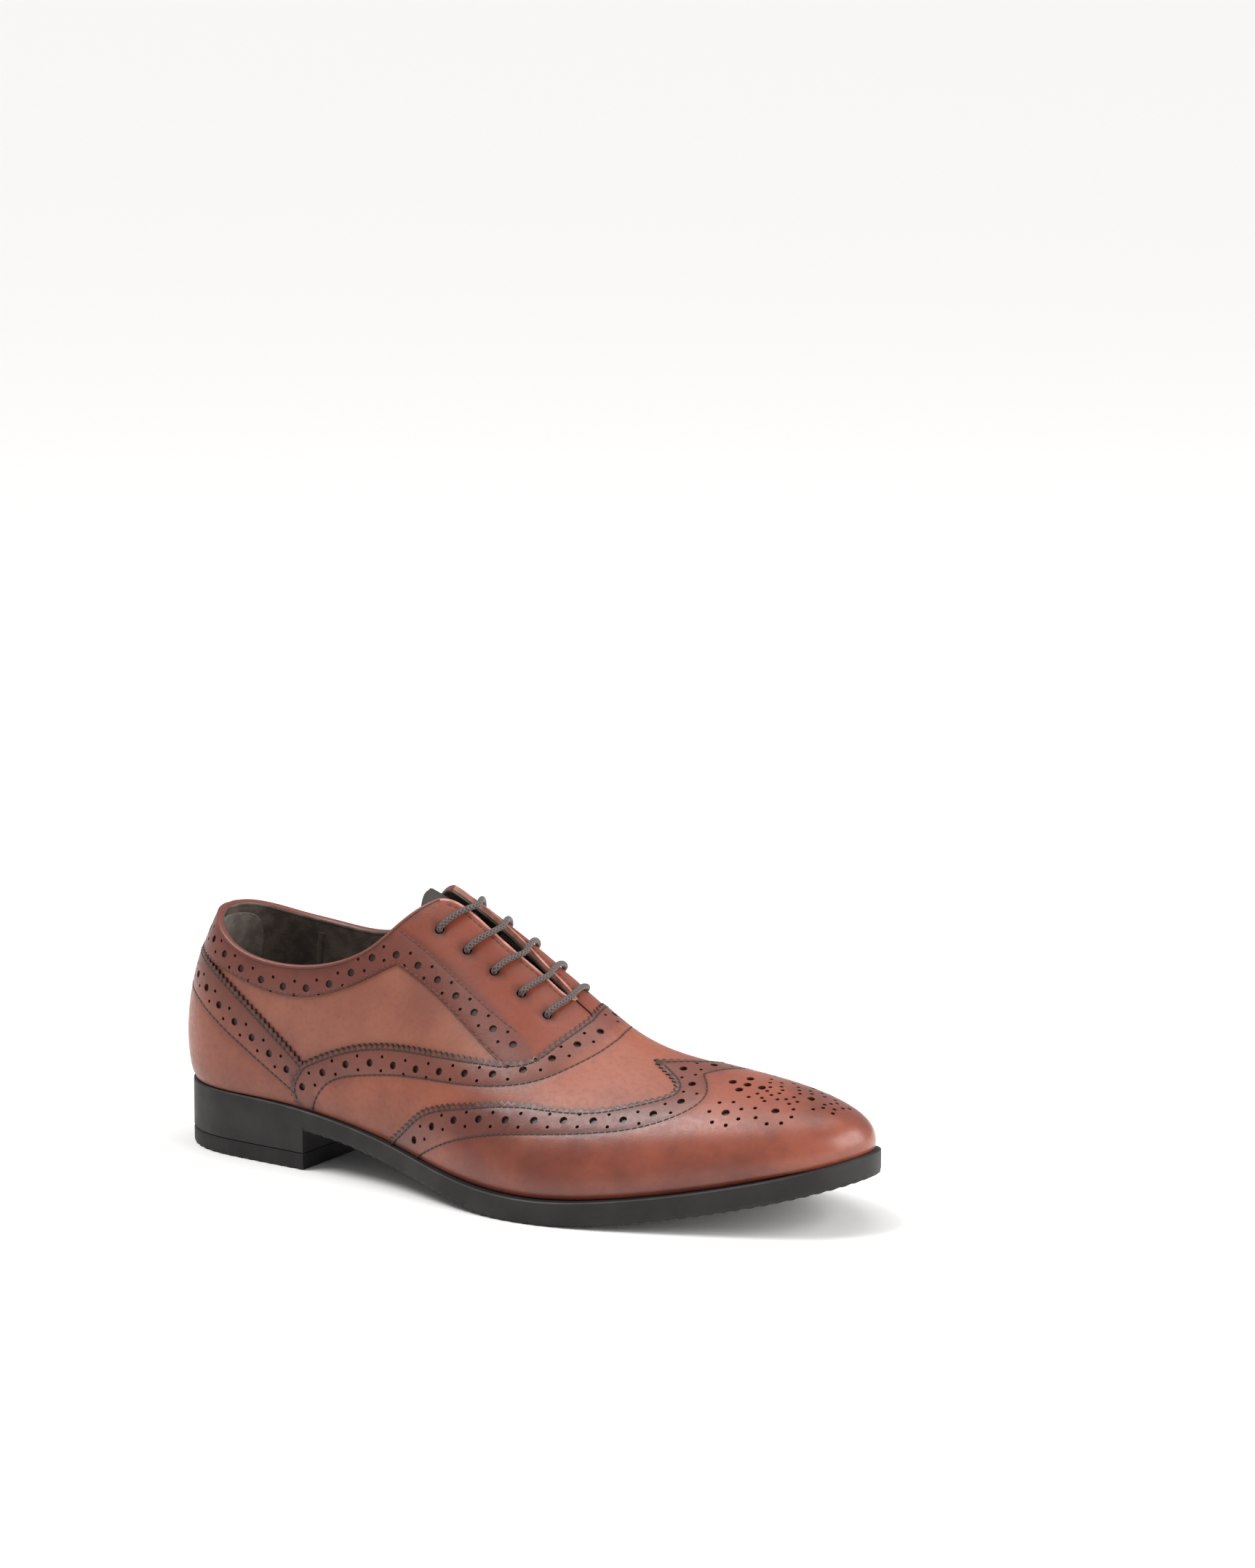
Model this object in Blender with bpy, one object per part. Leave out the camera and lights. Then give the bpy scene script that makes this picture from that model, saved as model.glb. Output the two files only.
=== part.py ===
# Brogue shoe: a man's right wing-tip shoe with closed lacing, standing on a level floor.
# Metres, +X from heel to toe, +Y to the inner side of the foot, +Z up.
import math

import bmesh
import bpy
import numpy as np
from mathutils import Vector
from mathutils.geometry import delaunay_2d_cdt

# Driving dimensions of the sole
SHOE_LENGTH = 0.305
BALL_WIDTH = 0.107
HEEL_WIDTH = 0.067
HEEL_HEIGHT = 0.0265
HEEL_LENGTH = 0.072
TOP_PIECE_THICKNESS = 0.0065
SOLE_THICKNESS = 0.0095
TOE_SPRING = 0.0205
EDGE_ROUND = 0.0009

# Driving dimensions of the last
INSTEP_HEIGHT = 0.104
TOE_HEIGHT = 0.0455
HEEL_LIP = 0.0015
TOE_LIP = 0.0050
CREST_BACK = 0.040
CREST_TOE_RUN = 0.0175

# Leather, lace and clearances
WALL = 0.0020
GAP = 0.0003
FACING_THICKNESS = 0.0006
COUNTER_THICKNESS = 0.0008
VAMP_THICKNESS = 0.0009
CAP_THICKNESS = 0.0017
INSOLE_THICKNESS = 0.0025
TONGUE_THICKNESS = 0.0016
LACE_RADIUS = 0.0012
LACE_CLEARANCE = 0.0006
EYELET_CLEARANCE = 0.0007
EYELET_RADIUS = LACE_RADIUS + EYELET_CLEARANCE

# Spacing of the surface points: degrees round the last, shares across it, and metres along a curve.
# EDGE_CLEAR is the bare strip beside a pattern line.
ANGLE_STEP = 6.0
ROWS = (0.0, 0.08, 0.16, 0.25, 0.35, 0.46, 0.57, 0.68, 0.78, 0.87, 0.94, 1.0)
TONGUE_ROWS = (-0.3, -0.2, -0.1, 0.0, 0.1, 0.2, 0.3)
CURVE_STEP = 0.0075
EDGE_CLEAR = 0.0036
EYELET_SIDES = 8

# Scale of the flat map of the last: metres for a degree round it and for a whole rib across it
DEGREE_LENGTH = 0.0017
RIB_LENGTH = 0.085

# The plan of the sole: angle from the back of the heel to the toe in degrees,
# outer and inner half widths as shares of HEEL_WIDTH for the heel rows and BALL_WIDTH for the rest.
HEEL_PLAN = (
    # angle, outer, inner
    (15, -0.254, 0.254),
    (30, -0.440, 0.433),
    (45, -0.503, 0.493),
    (60, -0.537, 0.478),
)
BALL_PLAN = (
    # angle, outer, inner
    (75, -0.379, 0.276),
    (90, -0.486, 0.318),
    (105, -0.523, 0.421),
    (120, -0.430, 0.481),
    (135, -0.313, 0.439),
    (150, -0.210, 0.336),
    (165, -0.084, 0.206),
)
TOE_POINT = 0.065

# The last stands inside the outline by HEEL_LIP up to the first angle and by TOE_LIP from the second.
LIP_START = 40.0
LIP_END = 100.0

# The side view of the sole: place along the shoe as a share of SHOE_LENGTH, height of the upper
# edge above the tread line of the sole as a share of HEEL_HEIGHT behind the ball.
SEAT_LINE = (
    # along, height share
    (0.000, 1.000),
    (0.100, 0.981),
    (0.236, 0.917),
    (0.295, 0.830),
    (0.361, 0.709),
    (0.426, 0.581),
    (0.492, 0.460),
    (0.551, 0.385),
    (0.623, 0.358),
)
FLAT_START = 0.575
SPRING_START = 0.623
SPRING_POWER = 1.7
WAIST_LINE = (
    # along, height of the underside as a share of HEEL_HEIGHT
    (0.236, 0.600),
    (0.295, 0.525),
    (0.361, 0.400),
    (0.426, 0.264),
    (0.492, 0.128),
    (0.541, 0.038),
    (FLAT_START, 0.000),
)

# Ribs of the last, one row every 15 degrees. The crest is the middle line of the uppers; its height is
# a share of INSTEP_HEIGHT up to the ball and of TOE_HEIGHT from there, its shift a share of BALL_WIDTH.
# Crown and side are the reach of the curve's handles at the top and at the edge, flare is how far
# the side swells past the edge as a share of BALL_WIDTH, and slope is the fall of the crest outward.
RIB_STEP = 15.0
INSTEP_RIBS = (
    # height, shift, crown out, crown in, side out, side in, flare out, flare in, slope
    (1.173, 0.000, 0.50, 0.50, 0.38, 0.38, 0.112, 0.112, 0.00),
    (1.173, 0.000, 0.60, 0.60, 0.38, 0.38, 0.093, 0.093, 0.00),
    (1.183, 0.000, 0.72, 0.72, 0.38, 0.38, 0.056, 0.056, 0.00),
    (1.192, 0.000, 0.72, 0.72, 0.38, 0.38, 0.028, 0.028, 0.00),
    (1.144, 0.000, 0.60, 0.60, 0.38, 0.38, 0.009, 0.005, 0.15),
    (1.000, 0.000, 0.50, 0.52, 0.38, 0.34, 0.009, 0.000, 0.30),
    (0.774, 0.000, 0.50, 0.52, 0.38, 0.34, 0.028, 0.009, 0.35),
)
TOE_RIBS = (
    # height, shift, crown out, crown in, side out, side in, flare out, flare in, slope
    (1.336, 0.000, 0.50, 0.50, 0.45, 0.40, 0.028, 0.019, 0.33),
    (1.160, 0.009, 0.55, 0.50, 0.55, 0.45, 0.023, 0.028, 0.27),
    (1.088, 0.023, 0.60, 0.55, 0.65, 0.55, 0.023, 0.028, 0.20),
    (1.026, 0.037, 0.60, 0.60, 0.65, 0.60, 0.028, 0.028, 0.15),
    (0.982, 0.051, 0.60, 0.60, 0.60, 0.60, 0.033, 0.033, 0.05),
    (0.960, 0.056, 0.60, 0.60, 0.60, 0.60, 0.037, 0.037, 0.00),
)

# Pattern lines on the last: angle along it and share of the rib from crest (0) to edge (1),
# negative on the outer side. The opening is the collar up to OPENING_CORNER and the throat from there.
OPENING = (
    # angle, outer, inner
    (0.0, -0.450, 0.450),
    (15.0, -0.452, 0.450),
    (30.0, -0.510, 0.490),
    (42.0, -0.568, 0.527),
    (53.0, -0.572, 0.535),
    (60.0, -0.525, 0.500),
    (64.5, -0.448, 0.430),
    (67.3, -0.325, 0.325),
    (69.0, -0.200, 0.215),
    (70.0, -0.110, 0.145),
    (71.5, -0.066, 0.112),
    (74.0, -0.046, 0.100),
    (79.5, -0.036, 0.094),
    (84.5, -0.018, 0.080),
    (89.5, 0.004, 0.060),
    (94.5, 0.018, 0.044),
    (95.4, 0.031, 0.031),
)
OPENING_CORNER = 9
THROAT_MIDDLE = 0.031
SEAM_SHIFT = 0.009
VAMP_EDGE = (
    # angle, side
    (56.5, 1.000),
    (55.2, 0.950),
    (57.2, 0.850),
    (67.9, 0.731),
    (80.2, 0.616),
    (92.7, 0.457),
    (96.4, 0.370),
    (97.8, 0.260),
    (98.7, 0.120),
    (98.9, THROAT_MIDDLE),
)
CAP_EDGE = (
    # angle, side
    (75.5, 1.000),
    (78.6, 0.917),
    (82.0, 0.818),
    (89.5, 0.690),
    (99.7, 0.550),
    (110.1, 0.447),
    (118.0, 0.328),
    (121.9, 0.225),
    (120.7, 0.139),
    (117.5, 0.068),
    (113.6, 0.000),
)
COUNTER_EDGE = (
    # angle, side
    (0.0, 0.565),
    (15.0, 0.570),
    (24.0, 0.585),
    (32.0, 0.620),
    (42.2, 0.698),
    (50.5, 0.777),
    (57.2, 0.850),
)
FACING_EDGE = (
    # angle, side
    (24.0, 0.585),
    (36.2, 0.622),
    (44.6, 0.655),
    (56.4, 0.650),
    (65.0, 0.552),
    (70.0, 0.444),
    (81.1, 0.444),
    (92.7, 0.457),
)
EYELETS = (
    # angle, outer, inner
    (73.6, -0.233, 0.287),
    (79.0, -0.216, 0.276),
    (84.1, -0.190, 0.252),
    (89.2, -0.166, 0.230),
    (94.2, -0.150, 0.212),
)
TONGUE_EDGE = (
    # angle, side
    (62.2, 0.000),
    (63.2, 0.100),
    (65.4, 0.200),
    (68.3, 0.290),
    (72.5, 0.360),
    (78.0, 0.400),
    (86.0, 0.405),
    (94.0, 0.370),
    (100.5, 0.290),
    (103.5, 0.160),
    (104.0, 0.000),
)

LACE_OVER = GAP + FACING_THICKNESS + LACE_CLEARANCE + LACE_RADIUS
LACE_UNDER = -(WALL + LACE_CLEARANCE + LACE_RADIUS)
TONGUE_DEPTH = LACE_UNDER - LACE_RADIUS - LACE_CLEARANCE
TONGUE_SEAT = -(WALL + GAP)
TONGUE_RISE_START = 96.0
TONGUE_RISE_END = 100.5
LACE_STEP = 0.0042
LACE_SHOULDER = 0.35


def spline(knots, values, places):
    """A natural cubic through (knots, values), read at the given places."""
    x = np.asarray(knots, float)
    y = np.asarray(values, float)
    count = len(x)
    matrix = np.eye(count)
    right = np.zeros(count)
    for i in range(1, count - 1):
        before = x[i] - x[i - 1]
        after = x[i + 1] - x[i]
        matrix[i, i - 1] = before
        matrix[i, i] = 2 * (before + after)
        matrix[i, i + 1] = after
        right[i] = 6 * ((y[i + 1] - y[i]) / after - (y[i] - y[i - 1]) / before)
    bend = np.linalg.solve(matrix, right)
    places = np.asarray(places, float)
    span = np.clip(np.searchsorted(x, places, side="right") - 1, 0, count - 2)
    width = x[span + 1] - x[span]
    high = (places - x[span]) / width
    low = 1 - high
    cubic = (low ** 3 - low) * bend[span] + (high ** 3 - high) * bend[span + 1]
    return low * y[span] + high * y[span + 1] + cubic * width ** 2 / 6


def mirrored(angles, values, places):
    """A spline with level ends: the table is mirrored past 0 and 180 degrees."""
    angles = list(angles)
    values = list(values)
    before = [-a for a in angles[3:0:-1]]
    after = [360 - a for a in angles[-2:-5:-1]]
    knots = before + angles + after
    heights = values[3:0:-1] + values + values[-2:-5:-1]
    return spline(knots, heights, places)


def plan_table():
    """Angles all round the sole, inner side first, with their half widths in metres."""
    rows = [(a, o * HEEL_WIDTH, i * HEEL_WIDTH) for a, o, i in HEEL_PLAN]
    rows += [(a, o * BALL_WIDTH, i * BALL_WIDTH) for a, o, i in BALL_PLAN]
    toe = (180, TOE_POINT * BALL_WIDTH)
    inner = [(a, i) for a, o, i in rows]
    outer = [(360 - a, o) for a, o, i in reversed(rows)]
    ring = [(0, 0.0)] + inner + [toe] + outer
    before = [(a - 360, y) for a, y in ring[-3:]]
    after = [(a + 360, y) for a, y in ring[:4]]
    return before + ring + after


PLAN = plan_table()
PLAN_ANGLES = [row[0] for row in PLAN]
PLAN_WIDTHS = [row[1] for row in PLAN]


def outline(turn):
    """Points of the sole's outline; turn runs 0 to 180 on the inner side, 0 to -180 on the outer."""
    turn = np.asarray(turn, float)
    x = SHOE_LENGTH / 2 * (1 - np.cos(np.radians(turn)))
    y = spline(PLAN_ANGLES, PLAN_WIDTHS, np.mod(turn, 360))
    return np.stack([x, y], -1)


def outward(turn):
    """Unit vectors in plan that point out of the outline."""
    turn = np.asarray(turn, float)
    step = outline(turn + 0.5) - outline(turn - 0.5)
    step /= np.linalg.norm(step, axis=-1, keepdims=True)
    return np.stack([-step[..., 1], step[..., 0]], -1)


def inset(turn, distance):
    """The outline moved inward."""
    distance = np.asarray(distance, float)
    return outline(turn) - outward(turn) * distance[..., None]


def spring(x):
    """Rise of the tread in front of the ball."""
    start = SPRING_START * SHOE_LENGTH
    share = np.clip((np.asarray(x, float) - start) / (SHOE_LENGTH - start), 0, 1)
    return TOE_SPRING * share ** SPRING_POWER


def sole_top(x):
    """Height of the sole's upper edge."""
    along = [row[0] * SHOE_LENGTH for row in SEAT_LINE]
    heights = [row[1] * HEEL_HEIGHT for row in SEAT_LINE]
    heights[-1] = SOLE_THICKNESS
    knots = along + [2 * along[-1] - a for a in along[-2:-5:-1]]
    values = heights + heights[-2:-5:-1]
    flat = np.clip(x, 0, along[-1])
    return spline(knots, values, flat) + spring(x)


def sole_bottom(x):
    """Height of the sole's underside in front of the heel."""
    along = [row[0] * SHOE_LENGTH for row in WAIST_LINE]
    heights = [row[1] * HEEL_HEIGHT for row in WAIST_LINE]
    knots = along + [2 * along[-1] - a for a in along[-2:-5:-1]]
    values = heights + [-h for h in heights[-2:-5:-1]]
    waist = np.clip(spline(knots, values, np.clip(x, along[0], along[-1])), 0, None)
    return waist + spring(x)


def lip(angle):
    """How far the last stands inside the sole's outline."""
    share = np.clip((np.asarray(angle, float) - LIP_START) / (LIP_END - LIP_START), 0, 1)
    return HEEL_LIP + (TOE_LIP - HEEL_LIP) * share


RIB_ANGLES = [RIB_STEP * i for i in range(len(INSTEP_RIBS) + len(TOE_RIBS))]
RIB_HEIGHTS = [r[0] * INSTEP_HEIGHT for r in INSTEP_RIBS] + [r[0] * TOE_HEIGHT for r in TOE_RIBS]
RIB_ROWS = INSTEP_RIBS + TOE_RIBS


def rib_value(column, scale, angle):
    """One column of the rib tables at an angle."""
    return mirrored(RIB_ANGLES, [row[column] * scale for row in RIB_ROWS], angle)


def last_point(angle, side):
    """A point on the last at an angle (0 to 180) and a share of the rib (-1 to 1)."""
    angle, side = np.broadcast_arrays(np.asarray(angle, float), np.asarray(side, float))
    outer = side < 0
    height = mirrored(RIB_ANGLES, RIB_HEIGHTS, angle)
    shift = rib_value(1, BALL_WIDTH, angle)
    crown = np.where(outer, rib_value(2, 1, angle), rib_value(3, 1, angle))
    wall = np.where(outer, rib_value(4, 1, angle), rib_value(5, 1, angle))
    flare = np.where(outer, rib_value(6, BALL_WIDTH, angle), rib_value(7, BALL_WIDTH, angle))
    slope = rib_value(8, 1, angle)
    turn = np.where(outer, -angle, angle)
    edge = inset(turn, lip(angle))
    edge_height = sole_top(edge[..., 0]) + GAP
    run = SHOE_LENGTH - CREST_TOE_RUN - CREST_BACK
    crest_x = CREST_BACK + run * (1 - np.cos(np.radians(angle))) / 2
    near = np.clip(angle, 1, 179)
    rise = mirrored(RIB_ANGLES, RIB_HEIGHTS, near + 0.5) - mirrored(RIB_ANGLES, RIB_HEIGHTS, near - 0.5)
    forward = run / 2 * (np.cos(np.radians(near - 0.5)) - np.cos(np.radians(near + 0.5)))
    fall = rise / forward
    crest = np.stack([crest_x, shift, height], -1)
    foot = np.stack([edge[..., 0], edge[..., 1], edge_height], -1)
    reach = foot - crest
    away = outward(turn)
    lift = crown * (reach[..., 0] * fall + reach[..., 1] * slope)
    upper_handle = crest + np.stack([crown * reach[..., 0], crown * reach[..., 1], lift], -1)
    swell = np.stack([away[..., 0] * flare, away[..., 1] * flare, -wall * reach[..., 2]], -1)
    lower_handle = foot + swell
    t = np.abs(side)[..., None]
    s = 1 - t
    return crest * s ** 3 + 3 * upper_handle * s * s * t + 3 * lower_handle * s * t * t + foot * t ** 3


def last_slopes(angle, side):
    """The change of the point with a degree of angle and with the share of the rib."""
    angle = np.clip(np.asarray(angle, float), 0.5, 179.5)
    side = np.asarray(side, float)
    along = last_point(angle + 0.5, side) - last_point(angle - 0.5, side)
    across = (last_point(angle, side + 0.005) - last_point(angle, side - 0.005)) * 100
    return along, across


def last_normal(angle, side):
    """Unit normals that point out of the last; the seams at heel and toe take the mean of both sides."""
    angle, side = np.broadcast_arrays(np.asarray(angle, float), np.asarray(side, float))

    def normal(a, s):
        along, across = last_slopes(a, s)
        n = np.cross(along, across)
        return n / np.linalg.norm(n, axis=-1, keepdims=True)

    n = normal(angle, side)
    ends = (angle < 0.01) | (angle > 179.99)
    n = np.where(ends[..., None], n + normal(angle, -side), n)
    return n / np.linalg.norm(n, axis=-1, keepdims=True)


def surface(angle, side, offset):
    """Points at a distance from the last along its normal, kept level at the sole's edge."""
    base = last_point(angle, side)
    out = base + last_normal(angle, side) * np.asarray(offset, float)[..., None]
    level = np.abs(np.abs(side) - 1) < 1e-6
    out[..., 2] = np.where(level, sole_top(out[..., 0]) + GAP, out[..., 2])
    return out


def domain(angle, side):
    """A flat map of the last, roughly in metres, for spacing points."""
    return np.stack([np.asarray(angle, float) * DEGREE_LENGTH, np.asarray(side, float) * RIB_LENGTH], -1)


def smooth_line(rows, sign=1, step=CURVE_STEP):
    """Evenly spaced (angle, side) points on a smooth curve through a table's rows."""
    rows = [(a, s * sign) for a, s in rows]
    flat = domain([r[0] for r in rows], [r[1] for r in rows])
    lengths = np.concatenate([[0], np.cumsum(np.linalg.norm(np.diff(flat, axis=0), axis=1))])
    count = max(2, int(round(lengths[-1] / step)) + 1)
    places = np.linspace(0, lengths[-1], count)
    angle = spline(lengths, [r[0] for r in rows], places)
    side = spline(lengths, [r[1] for r in rows], places)
    angle[0], side[0] = rows[0]
    angle[-1], side[-1] = rows[-1]
    return list(zip(np.clip(angle, 0, 180), np.clip(side, -1, 1)))


def straight_line(start, end, step=CURVE_STEP):
    """Evenly spaced (angle, side) points between two points."""
    flat = domain([start[0], end[0]], [start[1], end[1]])
    count = max(2, int(round(np.linalg.norm(flat[1] - flat[0]) / step)) + 1)
    share = np.linspace(0, 1, count)
    return [(start[0] + (end[0] - start[0]) * t, start[1] + (end[1] - start[1]) * t) for t in share]


def edge_line(start, end, side):
    """Points along the sole's edge between two angles, at the steps of the sole."""
    first = math.ceil(min(start, end) / ANGLE_STEP + 0.2)
    last = math.floor(max(start, end) / ANGLE_STEP - 0.2)
    steps = [ANGLE_STEP * i for i in range(first, last + 1)]
    if start > end:
        steps.reverse()
    return [(a, side) for a in [start] + steps + [end]]


def column(rows, which):
    """Two columns of a three-column table."""
    return [(row[0], row[which]) for row in rows]


def eyelet_ring(angle, side, radius=EYELET_RADIUS, sides=EYELET_SIDES):
    """A round hole in the last, as (angle, side) points."""
    along, across = last_slopes(angle, side)
    u = along / np.linalg.norm(along)
    v = across - u * np.dot(across, u)
    v_length = np.linalg.norm(v)
    skew = np.dot(across, u)
    ring = []
    for i in range(sides):
        turn = 2 * math.pi * (i + 0.5) / sides
        d_side = radius * math.sin(turn) / v_length
        d_angle = (radius * math.cos(turn) - skew * d_side) / np.linalg.norm(along)
        ring.append((angle + d_angle, side + d_side))
    return ring


TOPLINE_OUT = smooth_line(column(OPENING[:OPENING_CORNER + 1], 1))
TOPLINE_IN = smooth_line(column(OPENING[:OPENING_CORNER + 1], 2))
THROAT_OUT = smooth_line(column(OPENING[OPENING_CORNER:], 1))
THROAT_IN = smooth_line(column(OPENING[OPENING_CORNER:], 2))
THROAT_END = (OPENING[-1][0], THROAT_MIDDLE)
SEAM_POINT = VAMP_EDGE[-1]
VAMP_CORNER = 3
FACING_JOIN = FACING_EDGE[-1]


def both(rows):
    """A table's smooth curve on the outer and on the inner side."""
    return smooth_line(rows, -1), smooth_line(rows, 1)


CAP_OUT, CAP_IN = both(CAP_EDGE)
COUNTER_BACK_OUT, COUNTER_BACK_IN = both(COUNTER_EDGE[:3])
COUNTER_FRONT_OUT, COUNTER_FRONT_IN = both(COUNTER_EDGE[2:])
FACING_LOW_OUT, FACING_LOW_IN = both(FACING_EDGE[:6])
FACING_REAR_OUT, FACING_REAR_IN = both(FACING_EDGE[5:])
VAMP_LOW_OUT, VAMP_LOW_IN = both(VAMP_EDGE[:VAMP_CORNER])
VAMP_MID_OUT, VAMP_MID_IN = both(VAMP_EDGE[VAMP_CORNER - 1:6])
SEAM_ROWS = VAMP_EDGE[5:]
SEAM_OUT = smooth_line([(a, -s) for a, s in SEAM_ROWS[:-1]] + [SEAM_POINT])
SEAM_IN = [FACING_JOIN] + smooth_line([(a, s + SEAM_SHIFT) for a, s in SEAM_ROWS[1:-1]] + [SEAM_POINT])
NOTCH = straight_line(THROAT_END, SEAM_POINT)
HOLES = [eyelet_ring(row[0], row[side]) for row in EYELETS for side in (1, 2)]


def chain(*lines):
    """Joins lines end to end and drops repeated points."""
    points = []
    for line in lines:
        for point in line:
            if not points or abs(point[0] - points[-1][0]) + abs(point[1] - points[-1][1]) > 1e-7:
                points.append(point)
    if abs(points[0][0] - points[-1][0]) + abs(points[0][1] - points[-1][1]) < 1e-7:
        points.pop()
    return points


def back_line(start, end):
    """Points up the back seam at angle 0."""
    return straight_line((0.0, start), (0.0, end))


def toe_line():
    """Points down the middle of the toe at angle 180, the same on both sides."""
    return [(180.0, side) for side in ROWS]


VAMP_FOOT = VAMP_EDGE[0][0]
CAP_FOOT = CAP_EDGE[0][0]
BACK_TOP = OPENING[0][2]
BACK_COUNTER = COUNTER_EDGE[0][1]

REGIONS = {
    "opening": [chain(TOPLINE_OUT, THROAT_OUT, THROAT_IN[::-1], TOPLINE_IN[::-1],
                      back_line(BACK_TOP, -BACK_TOP))],
    "facing_outer": [chain(TOPLINE_OUT, THROAT_OUT, NOTCH, SEAM_OUT[::-1], FACING_REAR_OUT[::-1],
                           FACING_LOW_OUT[::-1], COUNTER_BACK_OUT[::-1],
                           back_line(-BACK_COUNTER, -BACK_TOP))],
    "facing_inner": [chain(TOPLINE_IN, THROAT_IN, NOTCH, SEAM_IN[::-1], FACING_REAR_IN[::-1],
                           FACING_LOW_IN[::-1], COUNTER_BACK_IN[::-1],
                           back_line(BACK_COUNTER, BACK_TOP))],
    "heel_counter": [
        chain(COUNTER_BACK_OUT, COUNTER_FRONT_OUT, VAMP_LOW_OUT[::-1],
              edge_line(VAMP_FOOT, 0.0, -1.0), back_line(-1.0, -BACK_COUNTER)),
        chain(COUNTER_BACK_IN, COUNTER_FRONT_IN, VAMP_LOW_IN[::-1],
              edge_line(VAMP_FOOT, 0.0, 1.0), back_line(1.0, BACK_COUNTER)),
    ],
    "vamp": [chain(VAMP_LOW_OUT, VAMP_MID_OUT, SEAM_OUT, SEAM_IN[::-1], VAMP_MID_IN[::-1],
                   VAMP_LOW_IN[::-1], edge_line(VAMP_FOOT, CAP_FOOT, 1.0), CAP_IN, CAP_OUT[::-1],
                   edge_line(CAP_FOOT, VAMP_FOOT, -1.0))],
    "toe_cap": [chain(CAP_OUT, CAP_IN[::-1], edge_line(CAP_FOOT, 180.0, 1.0), toe_line()[::-1],
                      [(180.0, -side) for side in ROWS], edge_line(180.0, CAP_FOOT, -1.0))],
    "whole": [chain(edge_line(0.0, 180.0, -1.0), [(180.0, -side) for side in ROWS[::-1]], toe_line(),
                    edge_line(180.0, 0.0, 1.0), back_line(1.0, BACK_COUNTER),
                    back_line(BACK_COUNTER, BACK_TOP), back_line(BACK_TOP, -BACK_TOP),
                    back_line(-BACK_TOP, -BACK_COUNTER), back_line(-BACK_COUNTER, -1.0))],
}


def inside(points, polygon):
    """Which points lie in a closed polygon."""
    x, y = points[:, 0], points[:, 1]
    result = np.zeros(len(points), bool)
    shape = np.asarray(polygon, float)
    for (x0, y0), (x1, y1) in zip(shape, np.roll(shape, -1, axis=0)):
        crosses = (y0 > y) != (y1 > y)
        with np.errstate(divide="ignore", invalid="ignore"):
            at = x0 + (y - y0) * (x1 - x0) / (y1 - y0)
        result ^= crosses & (x < at)
    return result


def distance_to(points, start, end):
    """Distance from each point to a segment."""
    line = end - start
    share = np.clip(((points - start) @ line) / max(line @ line, 1e-18), 0, 1)
    return np.linalg.norm(points - start - share[:, None] * line, axis=1)


def triangulate(polygons, spacing_rows):
    """One net over the last that follows every polygon's edges: angles, sides and triangles."""
    flat = []
    edges = []
    index = {}

    def vertex(point):
        key = (round(point[0], 5), round(point[1], 6))
        if key not in index:
            index[key] = len(flat)
            flat.append(domain(*point))
        return index[key]

    for polygon in polygons:
        ring = [vertex(point) for point in polygon]
        for a, b in zip(ring, ring[1:] + ring[:1]):
            if a != b and (a, b) not in edges and (b, a) not in edges:
                edges.append((a, b))
    grid = [(ANGLE_STEP * i, side) for i in range(1, int(180 / ANGLE_STEP)) for side in spacing_rows]
    grid = domain([g[0] for g in grid], [g[1] for g in grid])
    points = np.array(flat)
    far = np.ones(len(grid), bool)
    for a, b in edges:
        far &= distance_to(grid, points[a], points[b]) > EDGE_CLEAR
    points = np.vstack([points, grid[far]])
    coordinates = [Vector((float(p[0]), float(p[1]))) for p in points]
    made = delaunay_2d_cdt(coordinates, edges, [], 0, 1e-7)
    net = np.array([[v.x, v.y] for v in made[0]])
    triangles = []
    for face in made[2]:
        for i in range(1, len(face) - 1):
            triangles.append((face[0], face[i], face[i + 1]))
    angle = np.clip(net[:, 0] / DEGREE_LENGTH, 0, 180)
    side = np.clip(net[:, 1] / RIB_LENGTH, -1, 1)
    return angle, side, np.array(triangles)


def select(net, polygons, without=()):
    """The net with only its triangles inside some polygons and outside others."""
    angle, side, triangles = net
    centres = domain(angle, side)[triangles].mean(axis=1)

    def covered(group):
        result = np.zeros(len(triangles), bool)
        for polygon in group:
            result |= inside(centres, domain([p[0] for p in polygon], [p[1] for p in polygon]))
        return result

    return angle, side, triangles[covered(polygons) & ~covered(without)]


def welded_ids(angle, side):
    """Vertex numbers in which the two sides share their points at heel and toe."""
    ids = np.arange(len(angle))
    for end in (0.0, 180.0):
        here = np.where(np.abs(angle - end) < 0.01)[0]
        for i in here:
            if side[i] > 0:
                twins = here[np.abs(side[here] + side[i]) < 1e-4]
                if len(twins):
                    ids[i] = twins[0]
    return ids


def boundary_edges(triangles):
    """Directed edges that belong to one triangle."""
    seen = {}
    for a, b, c in triangles:
        for edge in ((a, b), (b, c), (c, a)):
            seen[edge] = True
    return [edge for edge in seen if (edge[1], edge[0]) not in seen]


def make_material(name, colour, roughness, metallic=0.0):
    material = bpy.data.materials.new(name)
    material.use_nodes = True
    shader = material.node_tree.nodes["Principled BSDF"]
    shader.inputs["Base Color"].default_value = (*colour, 1.0)
    shader.inputs["Roughness"].default_value = roughness
    shader.inputs["Metallic"].default_value = metallic
    return material


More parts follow.
